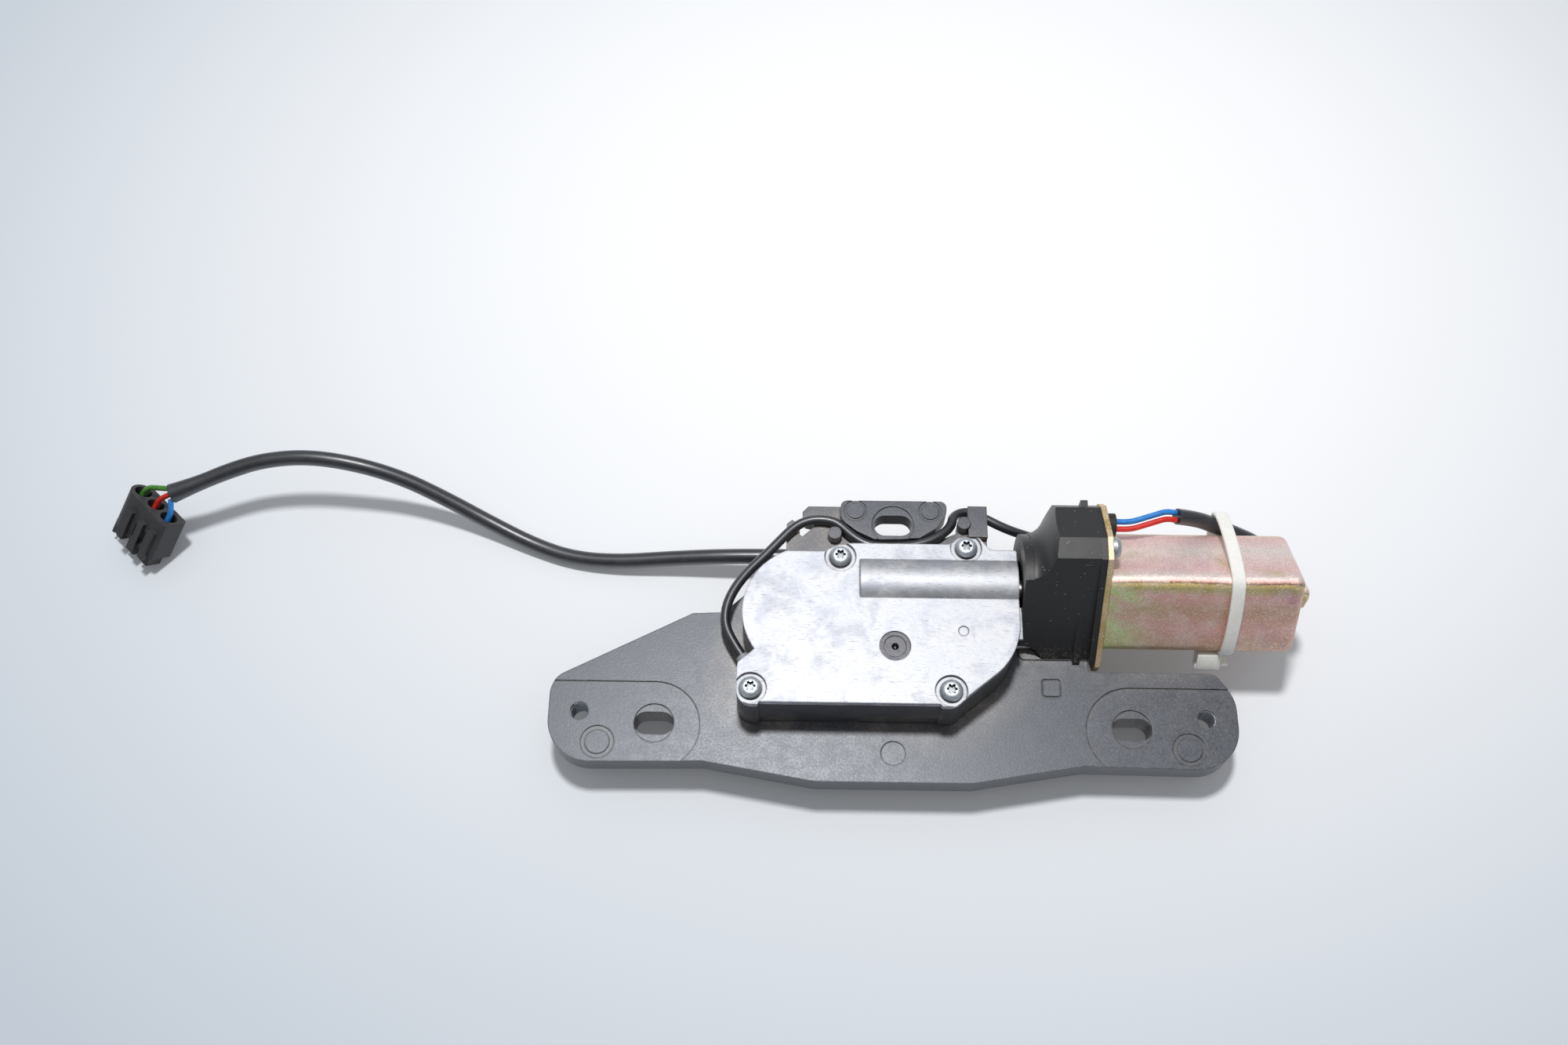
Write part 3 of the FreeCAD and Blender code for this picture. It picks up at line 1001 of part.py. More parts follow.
def armature():
    shaft = S["motor_shaft_radius"]
    core_end = S["core_start"] + S["core_length"]
    tip = S["motor_start"] + S["motor_length"] + S["end_boss_reach"] * 0.7 - 0.6
    coupling_end = S["coupling_start"] + S["coupling_length"]
    feature("motor_shaft", on_axis(shaft, coupling_end - 7, tip))
    feature("shaft_coupling", on_axis(S["coupling_radius"], S["coupling_start"], coupling_end).cut(
        on_axis(S["worm_shaft_radius"], S["coupling_start"] - 1,
                S["coupling_start"] + S["coupling_length"] / 2 - 1)).cut(
        on_axis(shaft, coupling_end - 7, coupling_end + 1)))
    core = on_axis(S["core_radius"], S["core_start"], core_end, shaft)
    slots = 8
    for i in range(slots):
        cut = Part.makeBox(S["core_length"] + 2, 2.6, 5.2, V(S["core_start"] - 1, -1.3, S["core_radius"] - 4.4))
        cut.rotate(V(0, 0, 0), V(1, 0, 0), 360 * i / slots)
        cut.translate(V(0, S["worm_y"], val(AXIS_Z)))
        core = core.cut(cut)
    feature("armature_core", core)
    feature("armature_windings", Part.makeCompound([
        on_axis(S["core_radius"] - 1.4, S["core_start"] - 4.5, S["core_start"], shaft),
        on_axis(S["core_radius"] - 1.4, core_end, core_end + 4.5, shaft)]))
    feature("commutator", on_axis(S["commutator_radius"], S["core_start"] - 4.5 - S["commutator_length"],
                                  S["core_start"] - 4.5, shaft))
    holder = Part.makeBox(6.0, 3.4, 24.0, V(79.0, -1.7, -12.0))
    holder = holder.cut(Part.makeCylinder(S["commutator_radius"] + 0.1, 8, V(78, 0, 0), V(1, 0, 0)))
    holder.rotate(V(0, 0, 0), V(1, 0, 0), S["motor_lean"])
    holder.translate(V(0, S["worm_y"], val(AXIS_Z)))
    feature("motor_brushes", Part.makeCompound(holder.Solids))
    feature("motor_front_bearing", on_axis(S["commutator_radius"] + 2, 72.0, 77.2, shaft + S["run_gap"]))
    end = S["motor_start"] + S["motor_length"]
    feature("motor_end_bearing", on_axis(shaft + 1.6, end - S["can_wall"], end + S["end_boss_reach"] * 0.7,
                                         shaft + S["run_gap"]))


# Wiring held by the lock
SLEEVE_HELD = [(104.0, 73.4, 37.0), (112.0, 74.2, 33.6), (119.0, 74.0, 29.0), (128.0, 72.6, 24.6),
               (138.0, 70.8, 19.6), (142.0, 67.0, 12.0), (136.0, 62.6, 5.4), (124.0, 61.6, 1.6),
               (108.0, 65.0, -2.2), (92.0, 70.0, -3.4), (72.0, 72.6, -2.8), (48.0, 72.0, -1.6),
               (20.0, 72.2, -1.0), (-8.0, 71.6, -0.4), (-29.0, 71.4, 0.8), (-45.0, 71.4, 0.8)]
LEAD = [(-45.0, 71.4, 0.8), (-60.0, 71.4, 0.8), (-84.0, 71.6, -2.6), (-106.0, 71.0, -5.4),
        (-124.0, 73.0, -7.0), (-140.0, 78.6, -6.8), (-158.0, 86.8, -3.4), (-174.0, 93.4, 3.0),
        (-190.0, 98.6, 10.2), (-207.0, 101.4, 16.4), (-226.0, 103.0, 19.2), (-243.4, 101.6, 18.2),
        (-256.6, 97.4, 16.8), (-268.5, 92.4, 15.2), (-278.0, 89.0, 13.6)]
SWITCH_CABLE = [(-55.0, 23.15, 19.0), (-58.6, 28.55, 19.0), (-61.8, 35.2, 19.0), (-61.6, 42.6, 19.0),
                (-58.8, 49.8, 19.0), (-53.8, 57.0, 18.8), (-47.4, 63.8, 18.6), (-42.2, 69.8, 18.6),
                (-37.4, 75.2, 18.6), (-32.4, 78.4, 18.6), (-26.6, 79.2, 18.6), (-20.6, 78.1, 18.6),
                (-14.6, 71.9, 18.7), (-8.6, 68.3, 18.8), (-1.0, 68.0, 18.8), (6.6, 68.3, 18.8),
                (13.4, 70.0, 18.7), (19.4, 73.6, 18.2), (23.1, 77.9, 16.8), (24.2, 83.6, 14.4),
                (30.2, 86.0, 13.2), (36.6, 83.0, 12.9), (43.6, 79.6, 12.0), (51.0, 78.0, 9.6),
                (58.0, 77.8, 6.0), (64.6, 76.9, 1.8)]


def wiring():
    tube("harness_sleeve", SLEEVE_HELD, S["sleeve_size"] / 2)
    tube("lead_sleeve", LEAD, S["sleeve_size"] / 2)
    tube("switch_cable", SWITCH_CABLE, S["cable_size"] / 2)
    wire = S["wire_size"] / 2
    start = S["motor_start"] + S["grommet_thick"]
    y, z = S["worm_y"] + GROMMET[0], val(AXIS_Z) + GROMMET[1]
    end = V(*SLEEVE_HELD[0])
    lead_in = (end - V(*SLEEVE_HELD[1])).normalize() * 5
    for name, shift in (("motor_wire_blue", V(0, 1.3, 0.4)), ("motor_wire_red", V(0, -1.3, -0.4))):
        first = V(start, y, z) + shift
        tube(name, [tuple(first), tuple(first + V(6, 0, 0)), tuple(end + lead_in + shift),
                    tuple(end + lead_in * 0.1 + shift)], wire)
    grommet = rod((start - S["grommet_thick"], y, z), (start, y, z), S["grommet_radius"])
    neck = rod((S["motor_start"] - S["flange_thick"], y, z), (S["motor_start"], y, z),
               S["grommet_radius"] - 1)
    feature("wire_grommet", grommet.fuse(neck))


def hull_outline(circles, grow, x):
    """The tight outline round a set of circles across X, each circle grown by the same amount."""
    steps = 48
    samples = []
    for y, z, radius in circles:
        for k in range(steps):
            angle = 2 * math.pi * k / steps
            samples.append((y + (radius + grow) * math.cos(angle), z + (radius + grow) * math.sin(angle)))
    samples = sorted(set(samples))

    def chain(points):
        kept = []
        for point in points:
            while len(kept) > 1 and ((kept[-1][0] - kept[-2][0]) * (point[1] - kept[-2][1])
                                     - (kept[-1][1] - kept[-2][1]) * (point[0] - kept[-2][0])) <= 1e-9:
                kept.pop()
            kept.append(point)
        return kept[:-1]

    ring = chain(samples) + chain(reversed(samples))
    spots = [V(x, S["worm_y"] + y, val(AXIS_Z) + z) for y, z in ring]
    return Part.makePolygon(spots + spots[:1])


def sleeve_at(x):
    """Where the descending stretch of the held sleeve crosses a place along the motor."""
    for start, end in zip(SLEEVE_HELD, SLEEVE_HELD[1:]):
        if start[0] <= x < end[0]:
            share = (x - start[0]) / (end[0] - start[0])
            return tuple(start[k] + share * (end[k] - start[k]) for k in (1, 2))
    raise ValueError("the sleeve does not pass there")


def cable_tie():
    """A nylon tie round the motor and the sleeve behind it, with its head under the front face."""
    inner = S["motor_side"] / 2 - S["motor_round"]
    circles = []
    for k in range(4):
        angle = math.radians(S["motor_lean"] + 90 + 90 * k)
        reach = inner * math.sqrt(2)
        circles.append((reach * math.cos(angle), reach * math.sin(angle), S["motor_round"]))
    low = S["tie_x"]
    for x in (low, low + S["tie_width"]):
        y, z = sleeve_at(x)
        circles.append((y - S["worm_y"], z - val(AXIS_Z), S["sleeve_size"] / 2 + 0.5))
    outer = Part.Face(hull_outline(circles, S["tie_thick"] + 0.15, low))
    hole = Part.Face(hull_outline(circles, 0.15, low))
    band = outer.cut(hole).extrude(V(S["tie_width"], 0, 0))
    side = S["motor_side"] / 2
    length, width, depth = 9.4, 5.2, 7.0
    head = Part.makeBox(length, width, depth,
                        V(low + 1.9 - length, 4.0 - side - width / 2, -side - S["tie_thick"] + 0.15 - depth))
    head.rotate(V(0, 0, 0), V(1, 0, 0), S["motor_lean"] - 45)
    head.translate(V(0, S["worm_y"], val(AXIS_Z)))
    feature("cable_tie", band.fuse(head).removeSplitter())


def switch_parts():
    case = Part.makeBox(12.0, 6.0, 8.0, V(-46.0, 6.6, S["plate_top"] + 0.4))
    case = case.cut(Part.makeCylinder(1.1, 20, V(-43.4, 9.6, 5.0))).cut(
        Part.makeCylinder(1.1, 20, V(-36.6, 9.6, 5.0)))
    lever = Part.makeBox(1.6, 1.3, 3.0, V(-39.0, 12.6, S["plate_top"] + 3.0))
    feature("limit_switch", case.fuse(lever))
    feature("cable_clip", rod(SWITCH_CABLE[0], (-52.6, 19.55, 19.0), 2.7))


# Plug housing at the end of the lead
def plug():
    length, width, height = S["plug_length"], S["plug_width"], S["plug_height"]
    radius = height / 2
    half = width / 2 - radius
    face = Part.Face(Part.Wire([
        Part.makeLine(V(-half, radius, 0), V(width / 2 - 1.0, radius, 0)),
        Part.makeLine(V(width / 2 - 1.0, radius, 0), V(width / 2, radius - 1.0, 0)),
        Part.makeLine(V(width / 2, radius - 1.0, 0), V(width / 2, 1.0 - radius, 0)),
        Part.makeLine(V(width / 2, 1.0 - radius, 0), V(width / 2 - 1.0, -radius, 0)),
        Part.makeLine(V(width / 2 - 1.0, -radius, 0), V(-half, -radius, 0)),
        Part.Arc(V(-half, -radius, 0), V(-width / 2, 0, 0), V(-half, radius, 0)).toShape()]))
    prong = S["plug_prong"]
    shell = length - prong
    housing = face.extrude(V(0, 0, shell))
    cavities = [k * S["plug_pitch"] for k in (-1, 0, 1)]
    # The housing ends in three prongs round the terminals, and a shield on its round side
    for x, reach in zip(cavities, (prong - 1.4, prong, prong - 0.8)):
        housing = housing.fuse(Part.makeBox(4.8, 6.6, reach + 1, V(x - 2.4, -3.3, shell - 1)))
    housing = housing.fuse(Part.makeBox(1.2, 5.6, prong + 0.6, V(0.5 - width / 2, -2.8, shell - 1)))
    for x in cavities:
        housing = housing.cut(Part.makeCylinder(S["plug_cavity"] / 2, 9.0, V(x, 0, 0)))
        housing = housing.cut(Part.makeBox(3.4, 3.4, length + 1, V(x - 1.7, -1.7, 0)))
    for x in (-5.6, 1.6, 7.6):
        housing = housing.fuse(Part.makeBox(3.0, 2.0, 13.0, V(x, radius - 0.2, shell - 11.5)))
    housing = housing.cut(Part.makeBox(7.0, 2.4, 6.0, V(-0.5, radius - 0.9, shell - 8.0)))
    turn = FreeCAD.Rotation(V(0, 0, 1), S["plug_turn"] - 270).multiply(
        FreeCAD.Rotation(V(1, 0, 0), 90 + S["plug_dip"]))
    place = FreeCAD.Placement(V(S["plug_x"], S["plug_y"], S["plug_z"]), turn)
    new = feature("plug_housing", housing)
    new.Placement = place
    terminals = group("plug_terminals", [Part.makeBox(2.6, 2.6, 14.0, V(x - 1.3, -1.3, 6.0))
                                         for x in cavities])
    terminals.Placement = place
    end = V(*LEAD[-1])
    along = (V(*LEAD[-1]) - V(*LEAD[-2])).normalize()
    aside = along.cross(V(0, 0, 1)).normalize()
    for name, x, shift in (("lead_wire_green", -S["plug_pitch"], -2.6), ("lead_wire_red", 0.0, 0.0),
                           ("lead_wire_blue", S["plug_pitch"], 2.6)):
        first = end - aside * shift + along * 0.95
        mouth = place.multVec(V(x, 0, -2.4))
        tube(name, [tuple(first), tuple(mouth), tuple(place.multVec(V(x, 0, 5.9)))],
             S["wire_size"] / 2)


base_casting()
gear_cover()
cover_gasket()
cover_screws()
gear_train()
bushes()
worm_shaft()
striker()
flange()
flange_screws()
adaptor()
motor()
armature()
wiring()
cable_tie()
switch_parts()
plug()
doc.recompute()

# Every object is sound, and every sub-part is a valid solid, before anything is written
for item in doc.Objects:
    if "Invalid" in item.State or "Error" in item.State:
        raise RuntimeError(f"{item.Name} failed: {item.State}")
for name, item in nodes.items():
    if item.Shape.isNull() or not item.Shape.isValid() or not item.Shape.Solids:
        raise RuntimeError(f"{name} is not a sound solid")
    if min(solid.Volume for solid in item.Shape.Solids) <= 0:
        raise RuntimeError(f"{name} has an inside-out solid")

os.makedirs("parts", exist_ok=True)
for name, item in nodes.items():
    item.Shape.exportStep(f"parts/{name}.step")
print(len(nodes), "sub-parts")
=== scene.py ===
# %% [markdown]
# This lesson dresses a powered tailgate lock: a die-cast plate with a gear box, a square-cased motor,
# a striker bow underneath and a lead in a black sleeve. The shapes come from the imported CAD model,
# which arrives here in metres, so the work in Blender is finishes, cords and small details.

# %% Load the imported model
import bmesh
import bpy
import math
from mathutils import Matrix, Vector


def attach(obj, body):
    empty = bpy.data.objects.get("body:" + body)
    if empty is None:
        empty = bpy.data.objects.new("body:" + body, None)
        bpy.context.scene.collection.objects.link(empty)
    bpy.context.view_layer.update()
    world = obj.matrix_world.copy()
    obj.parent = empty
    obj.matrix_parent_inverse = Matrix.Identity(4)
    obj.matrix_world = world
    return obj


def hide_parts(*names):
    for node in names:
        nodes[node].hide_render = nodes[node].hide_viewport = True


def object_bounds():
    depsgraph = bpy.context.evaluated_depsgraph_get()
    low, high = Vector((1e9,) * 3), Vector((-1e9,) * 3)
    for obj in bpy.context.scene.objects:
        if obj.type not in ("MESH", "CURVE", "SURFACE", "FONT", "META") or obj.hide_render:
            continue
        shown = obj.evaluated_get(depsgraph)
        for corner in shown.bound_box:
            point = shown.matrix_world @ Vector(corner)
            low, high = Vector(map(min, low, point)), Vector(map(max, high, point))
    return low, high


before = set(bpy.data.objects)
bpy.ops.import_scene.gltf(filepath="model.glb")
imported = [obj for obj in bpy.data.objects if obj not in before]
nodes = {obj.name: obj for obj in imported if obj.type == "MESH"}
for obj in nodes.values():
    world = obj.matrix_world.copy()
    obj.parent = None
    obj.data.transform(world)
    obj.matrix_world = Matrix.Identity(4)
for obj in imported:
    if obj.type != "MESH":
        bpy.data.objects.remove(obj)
cad_box = [list(corner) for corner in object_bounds()]
mm = 0.001
print("nodes", len(nodes), "box", [[round(x, 4) for x in corner] for corner in cad_box])

# %% [markdown]
# The camera stands where the photographer stood: nearly over the lock, a little towards the viewer's
# side. A focal length of 36 mm on a 36 mm wide sensor gives the same perspective as the photograph.
# The rotation is written as three small turns, because that is how it was measured.

# %% Camera
TILT, PAN, ROLL = 0.444642, -0.009740, -0.017316
CAMERA_AT = (-0.03540, -0.17875, 0.55665)

def turned(tilt, pan, roll):
    """Rows of the camera's right, up and back directions in the frame of the lock."""
    tilt_turn = Matrix(((1, 0, 0),
                        (0, math.cos(tilt), math.sin(tilt)),
                        (0, -math.sin(tilt), math.cos(tilt))))
    pan_turn = Matrix(((math.cos(pan), 0, math.sin(pan)),
                       (0, 1, 0),
                       (-math.sin(pan), 0, math.cos(pan))))
    roll_turn = Matrix(((math.cos(roll), -math.sin(roll), 0),
                        (math.sin(roll), math.cos(roll), 0),
                        (0, 0, 1)))
    return roll_turn @ tilt_turn @ pan_turn

lens = bpy.data.cameras.new("studio_camera")
lens.lens = 36
lens.sensor_width = 36
lens.clip_start = 0.01
camera = bpy.data.objects.new("studio_camera", lens)
bpy.context.scene.collection.objects.link(camera)
look = turned(TILT, PAN, ROLL).transposed().to_4x4()
camera.matrix_world = Matrix.Translation(CAMERA_AT) @ look
bpy.context.scene.camera = camera
print("camera height", round(camera.location.z, 3))

# %% [markdown]
# The wiring comes next, because it is the one thing on the table that is soft. A cord is a smooth
# spline of order 3 through a loose row of control points, with a round bevel: the spline cuts inside
# each corner, so it never shows the kinks that a chain of arcs would. The bevel depth is 1 and each
# point's radius holds the real radius, because Blender sizes the curve's box by the points' radius.
# The black sleeve runs from the motor down behind it, along the back of the gear box, and out over the
# table to the plug.

# %% Smooth cords
def spline_curve(name, points, radius, thickness=None):
    """A cord's curve: points in millimetres, an optional thickness factor at each point."""
    data = bpy.data.curves.new(name, "CURVE")
    data.dimensions = "3D"
    data.resolution_u = 12
    data.bevel_depth = 1.0
    data.bevel_resolution = 6
    data.use_fill_caps = True
    spline = data.splines.new("NURBS")
    spline.points.add(len(points) - 1)
    for i, point in enumerate(points):
        spline.points[i].co = (point[0] * mm, point[1] * mm, point[2] * mm, 1)
        spline.points[i].radius = radius * (thickness[i] if thickness else 1)
    spline.order_u = 3
    spline.use_endpoint_u = True
    piece = bpy.data.objects.new(name, data)
    bpy.context.scene.collection.objects.link(piece)
    return piece

LEAD = [(-45.0, 71.4, 0.8), (-60.0, 71.4, 0.8), (-84.0, 71.6, -2.6), (-106.0, 71.0, -5.4),
        (-124.0, 73.0, -7.0), (-140.0, 78.6, -6.8), (-158.0, 86.8, -3.4), (-174.0, 93.4, 3.0),
        (-190.0, 98.6, 10.2), (-207.0, 101.4, 16.4), (-226.0, 103.0, 19.2), (-243.4, 101.6, 18.2),
        (-256.6, 97.4, 16.8), (-268.5, 92.4, 15.2), (-278.0, 89.0, 13.6)]
HELD = [(104.0, 73.4, 37.0), (112.0, 74.2, 33.6), (119.0, 74.0, 29.0), (128.0, 72.6, 24.6),
        (138.0, 70.8, 19.6), (142.0, 67.0, 12.0), (136.0, 62.6, 5.4), (124.0, 61.6, 1.6),
        (108.0, 65.0, -2.2), (92.0, 70.0, -3.4), (72.0, 72.6, -2.8), (48.0, 72.0, -1.6),
        (20.0, 72.2, -1.0), (-8.0, 71.6, -0.4), (-29.0, 71.4, 0.8), (-45.0, 71.4, 0.8)]
SWITCH_CABLE = [(-55.0, 23.15, 19.0), (-58.6, 28.55, 19.0), (-61.8, 35.2, 19.0), (-61.6, 42.6, 19.0),
                (-58.8, 49.8, 19.0), (-53.8, 57.0, 18.8), (-47.4, 63.8, 18.6), (-42.2, 69.8, 18.6),
                (-37.4, 75.2, 18.6), (-32.4, 78.4, 18.6), (-26.6, 79.2, 18.6), (-20.6, 78.1, 18.6),
                (-14.6, 71.9, 18.7), (-8.6, 68.3, 18.8), (-1.0, 68.0, 18.8), (6.6, 68.3, 18.8),
                (13.4, 70.0, 18.7), (19.4, 73.6, 18.2), (23.1, 77.9, 16.8), (24.2, 83.6, 14.4),
                (30.2, 86.0, 13.2), (36.6, 83.0, 12.9), (43.6, 79.6, 12.0), (51.0, 78.0, 9.6),
                (58.0, 77.8, 6.0), (64.6, 76.9, 1.8)]
SLEEVE_RADIUS, CABLE_RADIUS = 3 * mm, 1.85 * mm
FLARED_END = [1.0] * 12 + [1.04, 0.98, 1.3]
lead = spline_curve("lead_in_sleeve", LEAD, SLEEVE_RADIUS, FLARED_END)
held = spline_curve("harness_in_sleeve", HELD, SLEEVE_RADIUS)
switch_lead = spline_curve("switch_lead", SWITCH_CABLE, CABLE_RADIUS)
for piece, node in ((lead, "lead_sleeve"), (held, "harness_sleeve"), (switch_lead, "switch_cable")):
    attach(piece, "root")
    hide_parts(node)
print("cords", lead.name, held.name, switch_lead.name)

# %% [markdown]
# A finish in Blender is a small network of nodes. Several finishes here share the same effects, such
# as grain, worn edges and specks, so each effect is one node group with named inputs. The helpers
# below keep the networks short: one makes a group, one adds a node and joins its inputs.

# %% Node helpers
def add(tree, kind, settings=None, **inputs):
    """Adds a node, sets its options, and joins or sets its inputs by name (spaces as underscores)."""
    node = tree.nodes.new(kind)
    for key, value in (settings or {}).items():
        setattr(node, key, value)
    for key, value in inputs.items():
        name = key.replace("_", " ")
        socket = node.inputs[int(key[1:])] if key[0] == "i" and key[1:].isdigit() else node.inputs[name]
        if isinstance(value, bpy.types.NodeSocket):
            tree.links.new(value, socket)
        else:
            socket.default_value = value
    return node

def group(name, inputs, outputs):
    """A shader node group with float inputs and the outputs (name, kind); gives tree, in and out."""
    tree = bpy.data.node_groups.new(name, "ShaderNodeTree")
    for label, value in inputs:
        made = tree.interface.new_socket(label, in_out="INPUT", socket_type="NodeSocketFloat")
        made.default_value = value
    for label, kind in outputs:
        tree.interface.new_socket(label, in_out="OUTPUT", socket_type="NodeSocket" + kind)
    return tree, tree.nodes.new("NodeGroupInput"), tree.nodes.new("NodeGroupOutput")

def surface_point(tree):
    """The place on the surface in the frame of the lock, which drives every texture here."""
    return tree.nodes.new("ShaderNodeTexCoord").outputs["Object"]

def maths(tree, operation, a, b=0.0, clamp=False):
    """One step of arithmetic on masks."""
    settings = {"operation": operation, "use_clamp": clamp}
    return add(tree, "ShaderNodeMath", settings, i0=a, i1=b).outputs[0]

def ramp(tree, value, low, high):
    """0 below low, 1 above high, smooth between."""
    node = add(tree, "ShaderNodeMapRange", {"interpolation_type": "SMOOTHSTEP"}, Value=value)
    node.inputs["From Min"].default_value = low
    node.inputs["From Max"].default_value = high
    return node.outputs["Result"]

def blend_colour(tree, factor, first, second, mode="MIX"):
    """Mixes two colours, each a socket or three numbers."""
    node = tree.nodes.new("ShaderNodeMix")
    node.data_type = "RGBA"
    node.blend_type = mode
    for socket, value in ((node.inputs[0], factor), (node.inputs[6], first), (node.inputs[7], second)):
        if isinstance(value, bpy.types.NodeSocket):
            tree.links.new(value, socket)
        elif isinstance(value, (int, float)):
            socket.default_value = value
        else:
            socket.default_value = tuple(value) + (1,)
    return node.outputs[2]

def place(tree, made, **inputs):
    """Puts a shared group into a material with its own values."""
    node = tree.nodes.new("ShaderNodeGroup")
    node.node_tree = made
    for key, value in inputs.items():
        socket = node.inputs[key.replace("_", " ")]
        if isinstance(value, bpy.types.NodeSocket):
            tree.links.new(value, socket)
        else:
            socket.default_value = value
    return node

print("node helpers ready")

# %% [markdown]
# Grain is the fine texture of a casting or of moulded plastic. Noise at one size looks like a pattern,
# so the group adds a coarse mottle to a fine speckle, and gives both a mask for colour and a height
# for the bump. The scale is in cycles per metre, because the model is in metres.

# %% Shared effect: grain
grain, g_in, g_out = group("grain", [("Scale", 900), ("Mottle", 0.5)],
                           [("Mask", "Float"), ("Height", "Float")])
where = surface_point(grain)
fine = add(grain, "ShaderNodeTexNoise", Vector=where, Scale=g_in.outputs["Scale"], Detail=3.0,
           Roughness=0.6)
coarse_scale = maths(grain, "MULTIPLY", g_in.outputs["Scale"], 0.13)
coarse = add(grain, "ShaderNodeTexNoise", Vector=where, Scale=coarse_scale, Detail=4.0, Roughness=0.65)
mixed = add(grain, "ShaderNodeMix", {"data_type": "FLOAT"})
grain.links.new(g_in.outputs["Mottle"], mixed.inputs[0])
grain.links.new(fine.outputs["Fac"], mixed.inputs[2])
grain.links.new(coarse.outputs["Fac"], mixed.inputs[3])
grain.links.new(ramp(grain, mixed.outputs[0], 0.36, 0.64), g_out.inputs["Mask"])
grain.links.new(fine.outputs["Fac"], g_out.inputs["Height"])
print("group", grain.name)

# %% [markdown]
# Paint and plating wear off first on edges, and the paler edge colour here is both that wear and a
# painted highlight along each edge. The Bevel node gives a normal that bends near an edge, so the dot
# product with the true normal shows where edges are. Noise breaks the line up, because an even outline
# round each edge looks drawn. The same bent normal also rounds the sharp CAD edges.

# %% Shared effect: edge wear and painted edge highlight
edge_wear_and_highlight, e_in, e_out = group("edge_wear_and_highlight", [("Radius", 0.0006), ("Scale", 260), ("Amount", 0.5)],
                               [("Mask", "Float"), ("Normal", "Vector")])
bevel = add(edge_wear_and_highlight, "ShaderNodeBevel", {"samples": 4}, Radius=e_in.outputs["Radius"])
true_normal = edge_wear_and_highlight.nodes.new("ShaderNodeNewGeometry").outputs["Normal"]
dot = add(edge_wear_and_highlight, "ShaderNodeVectorMath", {"operation": "DOT_PRODUCT"})
edge_wear_and_highlight.links.new(bevel.outputs[0], dot.inputs[0])
edge_wear_and_highlight.links.new(true_normal, dot.inputs[1])
bent = maths(edge_wear_and_highlight, "SUBTRACT", 1.0, dot.outputs["Value"], clamp=True)
broken = add(edge_wear_and_highlight, "ShaderNodeTexNoise", Vector=surface_point(edge_wear_and_highlight), Scale=e_in.outputs["Scale"],
             Detail=4.0, Roughness=0.7)
uneven = maths(edge_wear_and_highlight, "MULTIPLY", ramp(edge_wear_and_highlight, bent, 0.02, 0.2),
               ramp(edge_wear_and_highlight, broken.outputs["Fac"], 0.38, 0.62))
# The mask marks both worn edges and a painted highlight along the edge.
pale_edge_mask = maths(edge_wear_and_highlight, "MULTIPLY", uneven, e_in.outputs["Amount"], clamp=True)
edge_wear_and_highlight.links.new(pale_edge_mask, e_out.inputs["Mask"])
edge_wear_and_highlight.links.new(bevel.outputs[0], e_out.inputs["Normal"])
print("group", edge_wear_and_highlight.name)

# %% [markdown]
# Specks of dust and small bright chips are rare and round. A Voronoi texture gives round cells, and a
# random value in each cell decides whether it holds a speck, so the density is a plain input.

# %% Shared effect: specks
specks, s_in, s_out = group("specks", [("Scale", 500), ("Density", 0.05), ("Size", 0.2)],
                            [("Mask", "Float")])
cells = add(specks, "ShaderNodeTexVoronoi", Vector=surface_point(specks), Scale=s_in.outputs["Scale"])
parts = add(specks, "ShaderNodeSeparateColor", Color=cells.outputs["Color"])
chosen = maths(specks, "LESS_THAN", parts.outputs[0], s_in.outputs["Density"])
spot = maths(specks, "LESS_THAN", cells.outputs["Distance"],
             maths(specks, "MULTIPLY", s_in.outputs["Size"], parts.outputs[1]))
specks.links.new(maths(specks, "MULTIPLY", chosen, spot), s_out.inputs["Mask"])
print("group", specks.name)

# %% [markdown]
# Scratches are long and thin: a noise whose space is squeezed along one direction and turned. Three
# directions are enough for the eye to read them as handling marks.

# %% Shared effect: scratches
scratches, c_in, c_out = group("scratches", [("Scale", 60), ("Amount", 0.5)], [("Mask", "Float")])
lines = []
for turn, squeeze in ((0.5, 26.0), (-0.9, 20.0), (1.35, 30.0)):
    mapping = add(scratches, "ShaderNodeMapping", Vector=surface_point(scratches))
    mapping.inputs["Rotation"].default_value = (0, 0, turn)
    mapping.inputs["Scale"].default_value = (1, squeeze, squeeze)
    line = add(scratches, "ShaderNodeTexNoise", Vector=mapping.outputs[0], Scale=c_in.outputs["Scale"],
               Detail=2.0)
    lines.append(ramp(scratches, line.outputs["Fac"], 0.66, 0.72))
every_way = maths(scratches, "MAXIMUM", maths(scratches, "MAXIMUM", lines[0], lines[1]), lines[2])
scratches.links.new(maths(scratches, "MULTIPLY", every_way, c_in.outputs["Amount"]),
                    c_out.inputs["Mask"])
print("group", scratches.name)

# %% [markdown]
# Dirt and thin paint gather where two surfaces meet, and so does shade: the dark outlines that this
# mask gives grooves and steps are painted shade. The Ambient Occlusion node tells how closed in a point
# is, so a short distance finds grooves and the feet of small steps, and a long one finds the floor
# beside a wall. Edge says where the mask starts and Gain how fast it grows.

# %% Shared effect: crevice dust and painted shade
crevice_dust_and_shade, v_in, v_out = group("crevice_dust_and_shade", [("Distance", 0.001), ("Edge", 0.95), ("Gain", 4.0)],
                             [("Mask", "Float")])
openness = add(crevice_dust_and_shade, "ShaderNodeAmbientOcclusion", {"samples": 6}, Distance=v_in.outputs["Distance"])
closed_in = maths(crevice_dust_and_shade, "SUBTRACT", v_in.outputs["Edge"], openness.outputs["AO"])
crevice_dust_and_shade.links.new(maths(crevice_dust_and_shade, "MULTIPLY", closed_in, v_in.outputs["Gain"], clamp=True),
                  v_out.inputs["Mask"])
print("group", crevice_dust_and_shade.name)

# %% [markdown]
# Each finish starts from the same few steps: a Principled shader, the shared grain and the rounded
# edges. The function below builds that base and gives back what a finish may want to change, so the
# later cells only add what is special about each one.

# %% A finish with grain and rounded edges
GRAIN_DEPTH = 0.1 * mm

